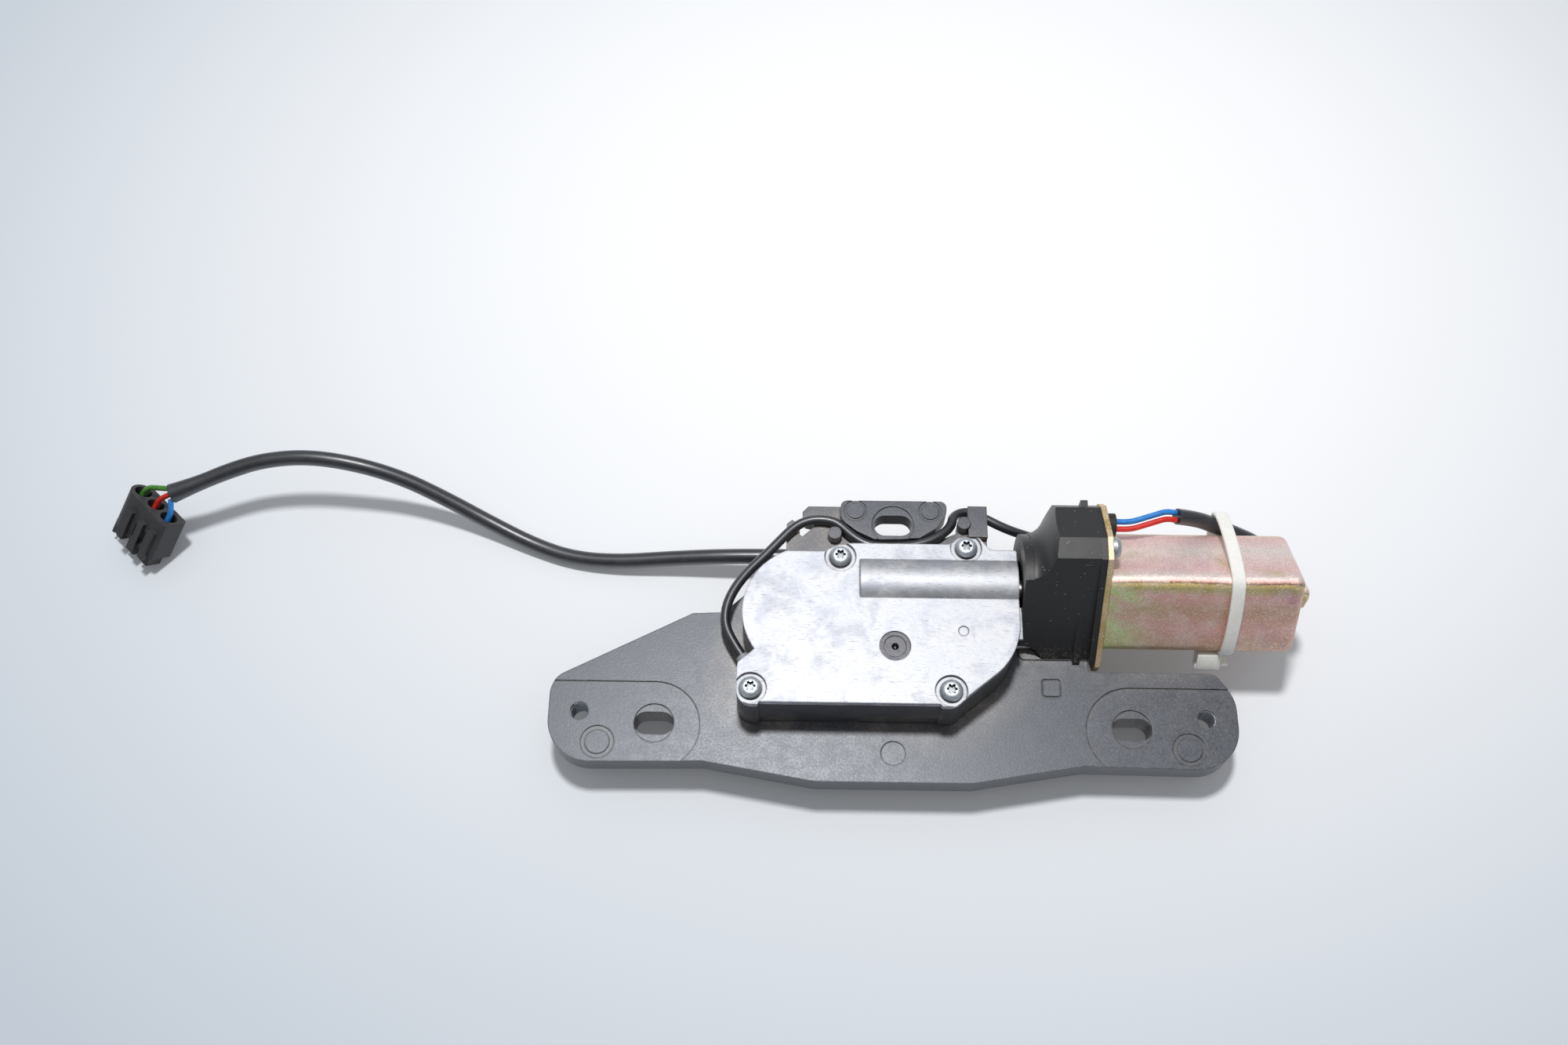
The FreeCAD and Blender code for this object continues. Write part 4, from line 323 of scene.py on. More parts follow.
def finish(name, light, dark, rough, rough_spread=0.06, metallic=0.0, scale=900, mottle=0.5, bump=0.05,
           radius=0.0005, wear_and_highlight=0.0, worn_and_lit_colour=(0.6, 0.6, 0.6), **constants):
    """A material coloured dark to light by the grain, its edges paler with wear and painted highlight."""
    material = bpy.data.materials.new(name)
    material.use_nodes = True
    tree = material.node_tree
    shader = tree.nodes["Principled BSDF"]
    texture = place(tree, grain, Scale=scale, Mottle=mottle)
    edges = place(tree, edge_wear_and_highlight, Radius=radius, Amount=wear_and_highlight)
    colour = blend_colour(tree, texture.outputs["Mask"], dark, light)
    # Paler edges: worn paint and a painted highlight along the edge.
    if wear_and_highlight:
        colour = blend_colour(tree, edges.outputs["Mask"], colour, worn_and_lit_colour)
    tree.links.new(colour, shader.inputs["Base Color"])
    roughness = maths(tree, "MULTIPLY_ADD", texture.outputs["Mask"], rough_spread)
    roughness.node.inputs[2].default_value = rough
    tree.links.new(roughness, shader.inputs["Roughness"])
    bumped = add(tree, "ShaderNodeBump", Height=texture.outputs["Height"], Normal=edges.outputs["Normal"],
                 Strength=bump, Distance=GRAIN_DEPTH)
    tree.links.new(bumped.outputs[0], shader.inputs["Normal"])
    shader.inputs["Metallic"].default_value = metallic
    for key, value in constants.items():
        shader.inputs[key.replace("_", " ")].default_value = value
    return material, tree, shader, colour

def recolour(tree, shader, colour):
    """Puts a finished colour onto the shader."""
    tree.links.new(colour, shader.inputs["Base Color"])

def dress(material, names, label):
    """Gives a finish to CAD nodes."""
    for name in names:
        data = nodes[name].data
        data.materials.clear()
        data.materials.append(material)
    print(label, len(names))

print("finish helpers ready")

# %% [markdown]
# The base is a die casting under thin satin charcoal paint with a bluish metal flake in it. Two things
# make it look real: every groove and step gets a crisp dark outline of painted shade, and beside the
# walls of the gear box the paint is thin, so a pale beige haze of bare metal dust shows there.

# %% Charcoal cast paint
BARE_DUST, GROOVE_SHADE = (0.42, 0.36, 0.31), (0.012, 0.011, 0.011)
charcoal, tree, shader, colour = finish("charcoal_cast", (0.082, 0.086, 0.100), (0.044, 0.047, 0.057),
                                        0.345, 0.08, scale=1500, mottle=0.35, bump=0.3, wear_and_highlight=0.7,
                                        worn_and_lit_colour=(0.42, 0.42, 0.43), radius=0.0006, Specular_IOR_Level=0.66,
                                        Specular_Tint=(0.90, 0.94, 1.0, 1.0))
flake = place(tree, specks, Scale=2600, Density=0.35, Size=0.75)
colour = blend_colour(tree, maths(tree, "MULTIPLY", flake.outputs["Mask"], 0.16), colour,
                      (0.34, 0.35, 0.40))
rub = add(tree, "ShaderNodeTexNoise", Vector=surface_point(tree), Scale=34.0, Detail=5.0, Roughness=0.7)
haze_grain = place(tree, specks, Scale=1700, Density=0.7, Size=0.8)
by_wall = place(tree, crevice_dust_and_shade, Distance=0.016, Edge=0.98, Gain=2.2)
patchy = maths(tree, "MULTIPLY", ramp(tree, rub.outputs["Fac"], 0.36, 0.62), by_wall.outputs["Mask"])
haze = maths(tree, "MULTIPLY", patchy, maths(tree, "MULTIPLY_ADD", haze_grain.outputs["Mask"], 0.35))
haze.node.inputs[1].default_value = 1.0
colour = blend_colour(tree, maths(tree, "MULTIPLY", haze, 0.85), colour, BARE_DUST)
# Grooves and the feet of steps get a crisp dark outline of painted shade.
groove_shade = place(tree, crevice_dust_and_shade, Distance=0.0009, Edge=0.93, Gain=3.0)
colour = blend_colour(tree, maths(tree, "MULTIPLY", groove_shade.outputs["Mask"], 0.85), colour, GROOVE_SHADE)
recolour(tree, shader, colour)
dress(charcoal, ["base_casting"], "charcoal")

# %% [markdown]
# The gear cover is bare aluminium, cast and lightly tumbled: bright, clouded bluish in patches of a few
# millimetres, and covered in short grey scratches that run every way. Metal takes its look from
# roughness as much as from colour, so the grain drives both.

# %% Bare cast aluminium
silver, tree, shader, colour = finish("cast_aluminium", (0.62, 0.625, 0.645), (0.42, 0.43, 0.46), 0.53, 0.1,
                                      metallic=0.9, scale=620, mottle=0.8, bump=0.4, wear_and_highlight=0.6,
                                      worn_and_lit_colour=(0.95, 0.95, 0.96), radius=0.0006)
cloud = add(tree, "ShaderNodeTexNoise", Vector=surface_point(tree), Scale=75.0, Detail=6.0, Roughness=0.72,
            Distortion=0.4)
clouded = maths(tree, "MULTIPLY", ramp(tree, cloud.outputs["Fac"], 0.46, 0.66), 0.55)
colour = blend_colour(tree, clouded, colour, (0.34, 0.36, 0.42))
marks = place(tree, scratches, Scale=240, Amount=0.85)
colour = blend_colour(tree, marks.outputs["Mask"], colour, (0.16, 0.165, 0.19))
rim_shade = place(tree, crevice_dust_and_shade, Distance=0.0008, Edge=0.93, Gain=3.0)
rim = maths(tree, "MULTIPLY", rim_shade.outputs["Mask"], 0.8)
colour = blend_colour(tree, rim, colour, (0.03, 0.03, 0.032))
recolour(tree, shader, colour)
dress(silver, ["gear_cover"], "aluminium")

# %% [markdown]
# Screws, the striker and its slide are zinc plated: a cool bluish silver. Gears and shafts are bare
# ground steel with a film of grease, so they are darker and smoother. The shaft end that shows in the
# cover is blackened, and so is its bush.

# %% Plated and bare steel
zinc, tree, shader, colour = finish("zinc_plate", (0.62, 0.66, 0.70), (0.46, 0.50, 0.54), 0.38, 0.14,
                                    metallic=0.85, scale=1400, mottle=0.5, bump=0.12, wear_and_highlight=0.4,
                                    worn_and_lit_colour=(0.9, 0.92, 0.94), radius=0.0003)
# Painted shade: the screw sockets and other small recesses are darkened.
socket = place(tree, crevice_dust_and_shade, Distance=0.0022, Edge=0.86, Gain=2.2)
recolour(tree, shader, blend_colour(tree, socket.outputs["Mask"], colour, (0.05, 0.055, 0.06)))
dress(zinc, ["cover_screws", "flange_screws", "strip_screws", "striker_bow", "striker_slide",
             "slide_strips", "plug_terminals"], "zinc")
bare = finish("greased_steel", (0.52, 0.51, 0.50), (0.36, 0.35, 0.34), 0.3, 0.12, metallic=1.0, scale=900,
              bump=0.08, radius=0.0003)[0]
dress(bare, ["drive_pinion", "output_gear", "crank_shaft", "worm_shaft", "motor_shaft",
             "armature_core"], "bare steel")
blackened = finish("blackened_steel", (0.10, 0.10, 0.105), (0.04, 0.04, 0.045), 0.3, 0.2, metallic=0.9,
                   scale=900, bump=0.1, wear_and_highlight=0.9, worn_and_lit_colour=(0.5, 0.5, 0.5), radius=0.0003)[0]
dress(blackened, ["wheel_shaft", "wheel_upper_bush"], "blackened")

# %% [markdown]
# The two round holes at the wing tips are tapped for M8 screws, and their threads catch the light. The
# CAD model has plain bores, so the thread is a ridge of triangular section wound up each bore: one ring
# of three corners is turned and lifted a little at a time, and neighbouring rings are joined by faces.

# %% Threads of the tapped holes
BORE_X, BORE_Y, THREAD_LOW, THREAD_HIGH = 114.2, 4.2, 1.0, 10.2
THREAD_SECTION = ((3.42, -0.5), (3.04, 0.0), (3.42, 0.5))

def mesh_piece(name, mesh):
    """An object from a finished bmesh."""
    data = bpy.data.meshes.new(name)
    mesh.to_mesh(data)
    mesh.free()
    piece = bpy.data.objects.new(name, data)
    bpy.context.scene.collection.objects.link(piece)
    return piece

def bore_thread(name, x, pitch=1.25, steps=28):
    """A thread's ridge up one bore; pitch in millimetres, steps to a turn."""
    mesh = bmesh.new()
    rings = []
    for i in range(int((THREAD_HIGH - THREAD_LOW) / pitch * steps) + 1):
        angle, z = i * 2 * math.pi / steps, THREAD_LOW + i * pitch / steps
        corners = [(x + r * math.cos(angle), BORE_Y + r * math.sin(angle), z + up)
                   for r, up in THREAD_SECTION]
        rings.append([mesh.verts.new((a * mm, b * mm, c * mm)) for a, b, c in corners])
    for ring, following in zip(rings, rings[1:]):
        for k in range(3):
            mesh.faces.new((ring[k], following[k], following[(k + 1) % 3], ring[(k + 1) % 3]))
    mesh.faces.new(rings[0])
    mesh.faces.new(tuple(reversed(rings[-1])))
    bmesh.ops.recalc_face_normals(mesh, faces=mesh.faces)
    piece = mesh_piece(name, mesh)
    piece.data.materials.append(zinc)
    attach(piece, "root")
    return piece

for name, x in (("bore_thread_left", -BORE_X), ("bore_thread_right", BORE_X)):
    print(name, len(bore_thread(name, x).data.polygons))

# %% [markdown]
# Bushes are sintered bronze, full of tiny pores. The worm wheel is milky nylon, and so is the cable
# tie, which lets a little light in: subsurface scattering gives it that soft edge. The windings of the
# motor are enamelled copper, and its magnets are dark ferrite.

# %% Bronze, nylon, copper and ferrite
bronze = finish("sintered_bronze", (0.50, 0.34, 0.17), (0.30, 0.20, 0.10), 0.5, 0.15, metallic=0.9,
                scale=2600, bump=0.3, radius=0.0002)[0]
dress(bronze, ["crank_roller", "wheel_lower_bush", "crank_lower_bush", "crank_upper_bush",
               "worm_inner_bush", "worm_outer_bush", "motor_front_bearing",
               "motor_end_bearing"], "bronze")
nylon = finish("milky_nylon", (0.93, 0.92, 0.86), (0.86, 0.85, 0.78), 0.34, 0.1, scale=600, bump=0.05,
               radius=0.0004, Subsurface_Weight=0.5, Subsurface_Scale=0.003,
               Subsurface_Radius=(1.0, 0.9, 0.8))[0]
dress(nylon, ["cable_tie", "worm_wheel"], "nylon")
copper = finish("enamelled_copper", (0.62, 0.25, 0.10), (0.40, 0.15, 0.06), 0.28, 0.1, metallic=0.8,
                scale=1800, bump=0.4)[0]
dress(copper, ["armature_windings", "commutator"], "copper")
ferrite = finish("ferrite", (0.07, 0.07, 0.075), (0.04, 0.04, 0.045), 0.6, 0.1, scale=1200, bump=0.3)[0]
dress(ferrite, ["motor_magnets", "motor_brushes"], "ferrite")

# %% [markdown]
# The cable tie is a stiff strap pulled round motor and sleeve: it touches the corners and bows out over
# the flat faces. The line of such a strap is easy to get from directions: for each one, the furthest
# reach of the case and sleeve inside gives a tight strap, and averaging the reach over neighbouring
# directions gives the bow.

# %% Line of the cable tie
MOTOR_Y, MOTOR_Z, MOTOR_LEAN, MOTOR_SIDE = 49.0, 23.5, 13.0, 33.0
CASE_ROUND, SLEEVE_ROOM, STRAP_ROOM, BOW_SPREAD = 4.5, 3.5, 0.15, 9.0
CASE_CORNER = (MOTOR_SIDE / 2 - CASE_ROUND) * math.sqrt(2)
SLEEVE_INSIDE = [(25.0, 5.5, SLEEVE_ROOM), (24.25, 3.15, SLEEVE_ROOM)]

def strap_line(steps=180, span=14):
    """Points (y, z) in millimetres and outward directions of a loose strap round case and sleeve."""
    inside = list(SLEEVE_INSIDE)
    for k in range(4):
        angle = math.radians(MOTOR_LEAN + 90 * k)
        inside.append((CASE_CORNER * math.cos(angle), CASE_CORNER * math.sin(angle), CASE_ROUND))
    turn = 2 * math.pi / steps
    tight = [max(y * math.cos(i * turn) + z * math.sin(i * turn) + r for y, z, r in inside)
             for i in range(steps)]
    shares = [math.exp(-(k * 360 / steps) ** 2 / (2 * BOW_SPREAD ** 2)) for k in range(-span, span + 1)]
    loose = [sum(s * tight[(i + k - span) % steps] for k, s in enumerate(shares)) / sum(shares)
             for i in range(steps)]
    room = max(a - b for a, b in zip(tight, loose)) + STRAP_ROOM
    line = []
    for i in range(steps):
        reach = loose[i] + room
        slope = (loose[(i + 1) % steps] - loose[i - 1]) / (2 * turn)
        out = (math.cos(i * turn), math.sin(i * turn))
        point = (MOTOR_Y + reach * out[0] - slope * out[1], MOTOR_Z + reach * out[1] + slope * out[0])
        line.append((point, out))
    return line

print("points on the strap", len(strap_line()))

# %% [markdown]
# The strap is a small chamfered section carried along that line. The head is a block with rounded
# edges, hollowed on its outer face and on its left end, and the cut tail stands out on the right. Head
# and tail are placed in a frame that leans with the flat face above them.

# %% Cable tie
TIE_X, TIE_WIDTH, TIE_THICK, SOFT = 119.0, 4.8, 1.3, 0.3
HEAD_AT, HEAD_SIZE = (116.2, -12.5, -21.15), (9.4, 5.2, 7.0)
TAIL_AT, TAIL_SIZE = (121.9, -12.5, -22.2), (3.2, 4.2, 1.2)
HEAD_WALL, HEAD_HOLLOW, HEAD_ROUND, LONG_EDGE = 1.1, 1.2, 0.7, 4.5

def block(mesh, frame_at, centre, size):
    """A block of the given size in millimetres, in a turned frame; gives its corners."""
    where = Matrix.Translation([c * mm for c in centre])
    scale = Matrix.Diagonal([s * mm for s in size] + [1])
    return bmesh.ops.create_cube(mesh, size=1, matrix=frame_at @ where @ scale)["verts"]

def cable_tie():
    """The strap with its head and tail as one mesh."""
    mesh = bmesh.new()
    profile = [(SOFT, 0), (TIE_WIDTH - SOFT, 0), (TIE_WIDTH, SOFT), (TIE_WIDTH, TIE_THICK - SOFT),
               (TIE_WIDTH - SOFT, TIE_THICK), (SOFT, TIE_THICK), (0, TIE_THICK - SOFT), (0, SOFT)]
    rings = []
    for (y, z), out in strap_line():
        corners = [(TIE_X + along_x, y + up * out[0], z + up * out[1]) for along_x, up in profile]
        rings.append([mesh.verts.new((a * mm, b * mm, c * mm)) for a, b, c in corners])
    for ring, following in zip(rings, rings[1:] + rings[:1]):
        for k in range(len(profile)):
            other = (k + 1) % len(profile)
            mesh.faces.new((ring[k], ring[other], following[other], following[k]))
    lean = Matrix.Rotation(math.radians(MOTOR_LEAN - 45), 4, "X")
    tilt = Matrix.Translation((0, MOTOR_Y * mm, MOTOR_Z * mm)) @ lean
    head = block(mesh, tilt, HEAD_AT, HEAD_SIZE)
    faces = list({face for vertex in head for face in vertex.link_faces})
    for side in (Vector((0, 0, -1)), Vector((-1, 0, 0))):
        outward = tilt.to_3x3() @ side
        face = max(faces, key=lambda f: f.normal.dot(outward))
        bmesh.ops.inset_individual(mesh, faces=[face], thickness=HEAD_WALL * mm)
        bmesh.ops.translate(mesh, vec=-HEAD_HOLLOW * mm * outward, verts=face.verts)
    long_edges = {edge for vertex in head for edge in vertex.link_edges
                  if edge.calc_length() > LONG_EDGE * mm}
    bmesh.ops.bevel(mesh, geom=list(long_edges), offset=HEAD_ROUND * mm, segments=2, affect="EDGES",
                    profile=0.5)
    block(mesh, tilt, TAIL_AT, TAIL_SIZE)
    bmesh.ops.recalc_face_normals(mesh, faces=mesh.faces)
    piece = mesh_piece("tie_strap", mesh)
    for face in piece.data.polygons:
        face.use_smooth = True
    piece.data.set_sharp_from_angle(angle=math.radians(40))
    return piece

tie = cable_tie()
tie.data.materials.append(nylon)
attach(tie, "root")
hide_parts("cable_tie")
print("tie faces", len(tie.data.polygons))

# %% [markdown]
# The motor case and its flange are chromate plated. The film is so thin that light interferes in it,
# which gives pinks, golds and greens. Four helpers come first: one stretches a value to the range 0 to
# 1, one lays colours along it, one starts a chromate finish with three sizes of noise, and one scatters
# painted glints, single bright specks, over the plating.

# %% Helpers for chromate
def along(tree, value, low, high):
    """0 at low, 1 at high, straight between."""
    node = add(tree, "ShaderNodeMapRange", Value=value)
    node.inputs["From Min"].default_value = low
    node.inputs["From Max"].default_value = high
    return node.outputs["Result"]

def bands(tree, value, stops):
    """Colours along a value, each stop a place and a colour."""
    tint = add(tree, "ShaderNodeValToRGB", Fac=value)
    band = tint.color_ramp
    band.elements[0].position, band.elements[0].color = stops[0][0], stops[0][1] + (1,)
    band.elements[1].position, band.elements[1].color = stops[-1][0], stops[-1][1] + (1,)
    for position, shade in stops[1:-1]:
        band.elements.new(position).color = shade + (1,)
    return tint.outputs["Color"]

def chromate(name):
    """Chromate plating before its colours: the material, its network, its base and three noises."""
    material, tree, shader, colour = finish(name, (1, 1, 1), (0.78, 0.78, 0.78), 0.44, 0.14, metallic=0.62,
                                            scale=1700, mottle=0.25, bump=0.6, wear_and_highlight=0.25,
                                            worn_and_lit_colour=(0.85, 0.78, 0.55), radius=0.0005)
    where = surface_point(tree)
    noises = []
    for size, distortion in ((28.0, 0.8), (45.0, 0.5), (150.0, 0.2)):
        noises.append(add(tree, "ShaderNodeTexNoise", Vector=where, Scale=size, Detail=4.0, Roughness=0.6,
                          Distortion=distortion).outputs["Fac"])
    parts = add(tree, "ShaderNodeSeparateXYZ", Vector=where)
    return material, tree, shader, colour, noises, parts

def painted_glints(tree, film):
    """Painted glints: single bright specks scattered over the plating."""
    glints = place(tree, specks, Scale=2100, Density=0.3, Size=0.8)
    return blend_colour(tree, maths(tree, "MULTIPLY", glints.outputs["Mask"], 0.4), film,
                        (1.0, 0.95, 0.85))

print("chromate helpers ready")

# %% [markdown]
# On the drawn case the film changes with how much the metal was bent, so the colours run in bands
# along its edges: a dark line under the upper corner, gold and olive below it, pink on the flats. That
# dark line is a painted dark reflection, and the paler bands on the upper back face are partly painted
# light. A measure along the girth drives the bands, and noise makes them wavy. Then green gathers by the
# flange, violet at the far end, and olive and pale clouds lie over all. The flange has golden clouds only.

# %% Iridescent chromate
GOLD, OLIVE, GREEN = (0.84, 0.62, 0.24), (0.62, 0.54, 0.20), (0.66, 0.78, 0.34)
PINK, ROSE, PALE = (0.90, 0.52, 0.46), (1.0, 0.66, 0.66), (1.0, 0.88, 0.83)
BROWN, CORNER_DARK_REFLECTION, VIOLET = (0.72, 0.46, 0.32), (0.22, 0.13, 0.07), (0.55, 0.26, 0.40)
# The measure along the girth is 0 at the case's upper corner and one side of the square at the next
# corner on each side. Its two factors are the cosine and sine of the lean times the root of two.
GIRTH_Y, GIRTH_Z, WAVE = 1.378, 0.318, 4.0
GREEN_FROM, GREEN_FULL, VIOLET_FROM, VIOLET_FULL = 100.0 * mm, 78.0 * mm, 128.0 * mm, 146.0 * mm
can_film, tree, shader, colour, noises, parts = chromate("pink_chromate")
back = maths(tree, "MULTIPLY", maths(tree, "SUBTRACT", parts.outputs[1], MOTOR_Y * mm), GIRTH_Y)
girth = maths(tree, "ADD", back,
              maths(tree, "MULTIPLY", maths(tree, "SUBTRACT", parts.outputs[2], MOTOR_Z * mm), GIRTH_Z))
wave = maths(tree, "MULTIPLY", maths(tree, "SUBTRACT", noises[1], 0.5), WAVE * mm)
wavy = maths(tree, "ADD", girth, wave)
# The dark band just before the corner at 0.5 is a painted dark reflection; pale bands past it are partly
# painted light.
film = bands(tree, along(tree, wavy, -MOTOR_SIDE * mm, MOTOR_SIDE * mm),
             [(0.0, GOLD), (0.05, BROWN), (0.17, PINK), (0.30, BROWN), (0.39, PINK), (0.44, OLIVE),
              (0.472, GOLD), (0.487, CORNER_DARK_REFLECTION), (0.505, PINK), (0.53, PALE), (0.62, ROSE), (0.80, PALE),
              (0.92, ROSE), (1.0, GREEN)])
by_flange = maths(tree, "MULTIPLY", ramp(tree, parts.outputs[0], GREEN_FROM, GREEN_FULL),
                  ramp(tree, noises[0], 0.40, 0.56))
film = blend_colour(tree, by_flange, film, GREEN)
far_end = maths(tree, "MULTIPLY", ramp(tree, parts.outputs[0], VIOLET_FROM, VIOLET_FULL),
                ramp(tree, noises[0], 0.42, 0.60))
film = blend_colour(tree, maths(tree, "MULTIPLY", far_end, 0.7), film, VIOLET)
film = blend_colour(tree, maths(tree, "MULTIPLY", ramp(tree, noises[1], 0.56, 0.70), 0.6), film, OLIVE)
film = blend_colour(tree, maths(tree, "MULTIPLY", ramp(tree, noises[2], 0.40, 0.62), 0.25), film, PALE)
recolour(tree, shader, painted_glints(tree, blend_colour(tree, 1.0, colour, film, "MULTIPLY")))
dress(can_film, ["motor_can"], "can")
flange_film, tree, shader, colour, noises = chromate("gold_chromate")[:5]
film = bands(tree, noises[1],
             [(0.3, GOLD), (0.45, (0.66, 0.46, 0.18)), (0.6, (0.84, 0.66, 0.38)), (0.75, ROSE)])
recolour(tree, shader, painted_glints(tree, blend_colour(tree, 1.0, colour, film, "MULTIPLY")))
dress(flange_film, ["motor_flange"], "flange")

# %% [markdown]
# Black plastics differ in gloss. The adaptor between gear box and motor is smooth and shines, with
# lint on it and brown dust near the plate. The plug is matte, and the gasket is plain rubber.

# %% Plastics and rubber
DUST_TOP, DUST_FULL = 21.0 * mm, 11.0 * mm
gloss_black, tree, shader, colour = finish("gloss_black", (0.006, 0.006, 0.007), (0.004, 0.004, 0.005),
                                           0.5, 0.1, scale=1000, bump=0.12, wear_and_highlight=0.5,
                                           worn_and_lit_colour=(0.10, 0.10, 0.11), radius=0.0008, Specular_IOR_Level=0.45,
                                           Coat_Weight=0.7, Coat_Roughness=0.42)
lint = place(tree, specks, Scale=1500, Density=0.05, Size=0.4)
colour = blend_colour(tree, maths(tree, "MULTIPLY", lint.outputs["Mask"], 0.4), colour, (0.5, 0.5, 0.5))
height = add(tree, "ShaderNodeSeparateXYZ", Vector=surface_point(tree)).outputs[2]
dust_grain = place(tree, specks, Scale=1700, Density=0.6, Size=0.8)
dusty = maths(tree, "MULTIPLY", ramp(tree, height, DUST_TOP, DUST_FULL),
              maths(tree, "MULTIPLY", dust_grain.outputs["Mask"], 0.5))
recolour(tree, shader, blend_colour(tree, dusty, colour, (0.20, 0.16, 0.13)))
dress(gloss_black, ["motor_adaptor"], "gloss plastic")
matte_black = finish("matte_black", (0.045, 0.045, 0.048), (0.03, 0.03, 0.032), 0.48, 0.12, scale=1500,
                     bump=0.2, wear_and_highlight=0.4, worn_and_lit_colour=(0.16, 0.16, 0.165), radius=0.0004)[0]
dress(matte_black, ["plug_housing", "limit_switch", "shaft_coupling"], "matte plastic")
rubber = finish("black_rubber", (0.02, 0.02, 0.02), (0.012, 0.012, 0.012), 0.6, 0.1, scale=1200,
                bump=0.2)[0]
dress(rubber, ["cover_gasket", "wire_grommet"], "rubber")

# %% [markdown]
# The sleeves are soft and slightly shiny with fine handling marks: a clear coat over a rough black
# gives the long crisp highlight, and scratches break it up. The wires are plain coloured insulation.

# %% Sleeves and wires
sleeve, tree, shader, colour = finish("black_sleeve", (0.018, 0.019, 0.023), (0.010, 0.011, 0.014),
                                      0.36, 0.14, scale=500, mottle=0.6, bump=0.2,
                                      Specular_IOR_Level=0.7, Coat_Weight=0.9, Coat_Roughness=0.32,
                                      Coat_Tint=(0.92, 0.95, 1.0, 1.0))
scuffs = place(tree, scratches, Scale=120, Amount=0.3)
recolour(tree, shader, blend_colour(tree, scuffs.outputs["Mask"], colour, (0.12, 0.12, 0.13)))
for piece in (lead, held, switch_lead):
    piece.data.materials.append(sleeve)
dress(sleeve, ["lead_sleeve", "harness_sleeve", "switch_cable"], "sleeve")
clip_grey = finish("clip_grey", (0.34, 0.34, 0.35), (0.24, 0.24, 0.25), 0.45, 0.1, scale=900, bump=0.2)[0]
dress(clip_grey, ["cable_clip"], "clip")
for name, light, dark in (("red", (0.78, 0.035, 0.02), (0.6, 0.02, 0.015)),
                          ("blue", (0.03, 0.30, 0.80), (0.02, 0.2, 0.62)),
                          ("green", (0.10, 0.32, 0.05), (0.05, 0.2, 0.03))):
    wire = finish("wire_" + name, light, dark, 0.34, 0.1, scale=700, bump=0.1)[0]
    dress(wire, [part for part in nodes if part.endswith("wire_" + name)], name)

# %% [markdown]
# The table is a large pale sheet. Its colour is a painted pool of light, white behind the lock and a
# little blue towards the corners, so no light has to make that gradient. The camera and reflections see
# a small share of the sheet as its plain colour, more of it far away where the lamp hardly reaches, and
# the shadow still shows.

# %% Table
POOL_WHITE, CORNER_FALLOFF_BLUE, FAR_PALE = (0.97, 0.975, 0.985), (0.55, 0.61, 0.68), (0.72, 0.76, 0.80)
NEAR_SHARE, FAR_SHARE, HALF_TABLE = 0.08, 0.6, 3.0
POOL_SHIFT, POOL_STRETCH = (-0.04, -0.27, 0), (0.95, 1.15, 1)

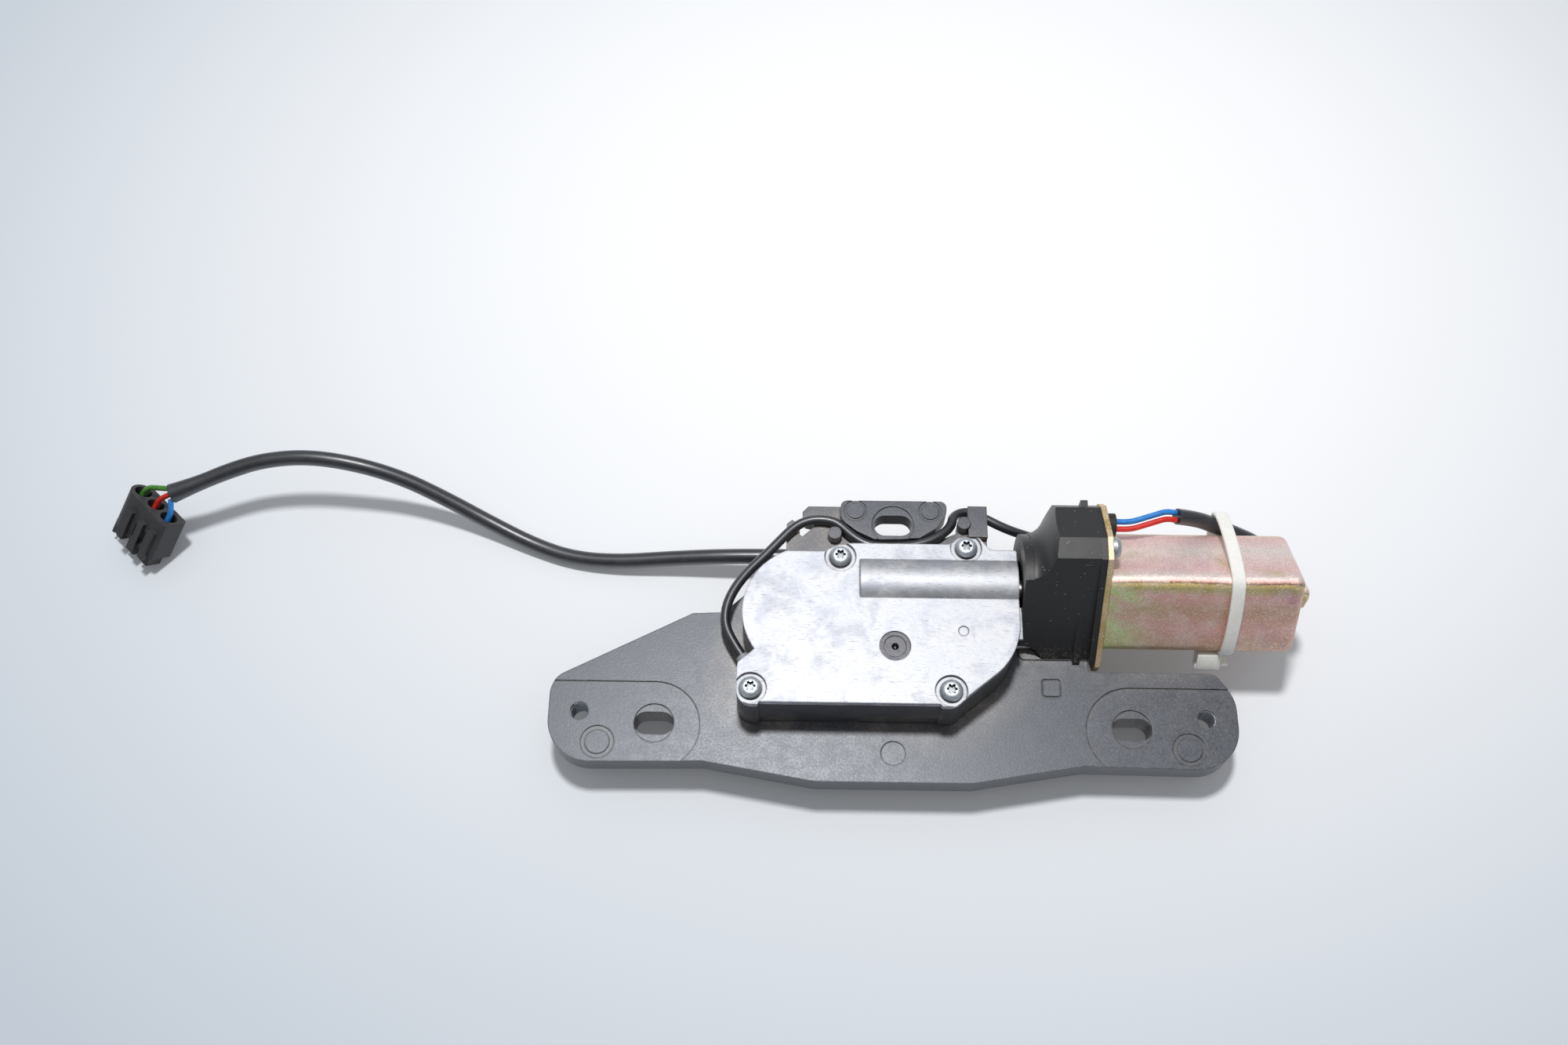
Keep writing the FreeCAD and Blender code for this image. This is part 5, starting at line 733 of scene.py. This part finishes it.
def table():
    """A wide sheet under the lock."""
    data = bpy.data.meshes.new("table")
    corners = [(-HALF_TABLE, -HALF_TABLE, 0), (HALF_TABLE, -HALF_TABLE, 0),
               (HALF_TABLE, HALF_TABLE, 0), (-HALF_TABLE, HALF_TABLE, 0)]
    data.from_pydata(corners, [], [(0, 1, 2, 3)])
    sheet = bpy.data.objects.new("table", data)
    bpy.context.scene.collection.objects.link(sheet)
    sheet.location = (0, 0, cad_box[0][2])
    material = bpy.data.materials.new("pale_table")
    material.use_nodes = True
    tree = material.node_tree
    diffuse = tree.nodes["Principled BSDF"]
    diffuse.inputs["Roughness"].default_value = 0.8
    diffuse.inputs["Specular IOR Level"].default_value = 0.1
    mapping = add(tree, "ShaderNodeMapping", Vector=surface_point(tree))
    mapping.inputs["Location"].default_value = POOL_SHIFT
    mapping.inputs["Scale"].default_value = POOL_STRETCH
    far = add(tree, "ShaderNodeVectorMath", {"operation": "LENGTH"})
    tree.links.new(mapping.outputs[0], far.inputs[0])
    beyond = ramp(tree, far.outputs["Value"], 0.62, 1.3)
    # Painted pool of light: white near the lock, bluer towards the corners.
    tone = blend_colour(tree, ramp(tree, far.outputs["Value"], 0.06, 0.6), POOL_WHITE, CORNER_FALLOFF_BLUE)
    tone = blend_colour(tree, beyond, tone, FAR_PALE)
    tree.links.new(tone, diffuse.inputs["Base Color"])
    plain = add(tree, "ShaderNodeEmission", Color=tone, Strength=1.0)
    rays = tree.nodes.new("ShaderNodeLightPath")
    direct = maths(tree, "ADD", rays.outputs["Is Camera Ray"], rays.outputs["Is Glossy Ray"])
    seen = maths(tree, "ADD", direct, rays.outputs["Is Transmission Ray"], clamp=True)
    plain_share = maths(tree, "MULTIPLY_ADD", beyond, FAR_SHARE)
    plain_share.node.inputs[2].default_value = NEAR_SHARE
    share = maths(tree, "MULTIPLY", seen, plain_share)
    mix = add(tree, "ShaderNodeMixShader", i0=share, i1=diffuse.outputs[0], i2=plain.outputs[0])
    tree.links.new(mix.outputs[0], tree.nodes["Material Output"].inputs["Surface"])
    data.materials.append(material)

table()
print("table at", round(cad_box[0][2], 4))

# %% [markdown]
# One fairly small lamp stands almost overhead, where a flat face mirrors it to the camera: that gives
# the bright plate, the crisp shadows and the glints on the sleeves. The world is a dim surround that is
# a little stronger above than at the sides, and only the camera sees it pale.

# %% Light
LAMP_AT, LAMP_AIM, LAMP_SIZE, LAMP_POWER = (-0.07, 0.27, 1.27), (0.0, 0.03, 0), 0.15, 11.6
SKY_LEAN, SKY_LOW, SKY_RISE, SKY_SEEN = (0.0, 0.42, 0.91), 0.16, 0.3, 0.72

def lamp(name, place_at, aim, size, power):
    """A round lamp turned towards a point."""
    data = bpy.data.lights.new(name, "AREA")
    data.shape = "DISK"
    data.size = size
    data.energy = power
    light = bpy.data.objects.new(name, data)
    bpy.context.scene.collection.objects.link(light)
    light.location = place_at
    light.rotation_euler = (Vector(aim) - Vector(place_at)).to_track_quat("-Z", "Y").to_euler()

lamp("key", LAMP_AT, LAMP_AIM, LAMP_SIZE, LAMP_POWER)
world = bpy.data.worlds.new("studio")
bpy.context.scene.world = world
world.use_nodes = True
tree = world.node_tree
sky = tree.nodes["Background"]
sky.inputs["Color"].default_value = (0.95, 0.97, 1.0, 1)
direction = tree.nodes.new("ShaderNodeTexCoord").outputs["Generated"]
lean = add(tree, "ShaderNodeVectorMath", {"operation": "DOT_PRODUCT"}, i0=direction, i1=SKY_LEAN)
strength = maths(tree, "MULTIPLY_ADD", ramp(tree, lean.outputs["Value"], -0.1, 0.95), SKY_RISE)
strength.node.inputs[2].default_value = SKY_LOW
seen_sky = add(tree, "ShaderNodeMix", {"data_type": "FLOAT"})
seen_sky.inputs[3].default_value = SKY_SEEN
tree.links.new(tree.nodes.new("ShaderNodeLightPath").outputs["Is Camera Ray"], seen_sky.inputs[0])
tree.links.new(strength, seen_sky.inputs[2])
tree.links.new(seen_sky.outputs[0], sky.inputs["Strength"])
bpy.context.scene.view_settings.view_transform = "Standard"
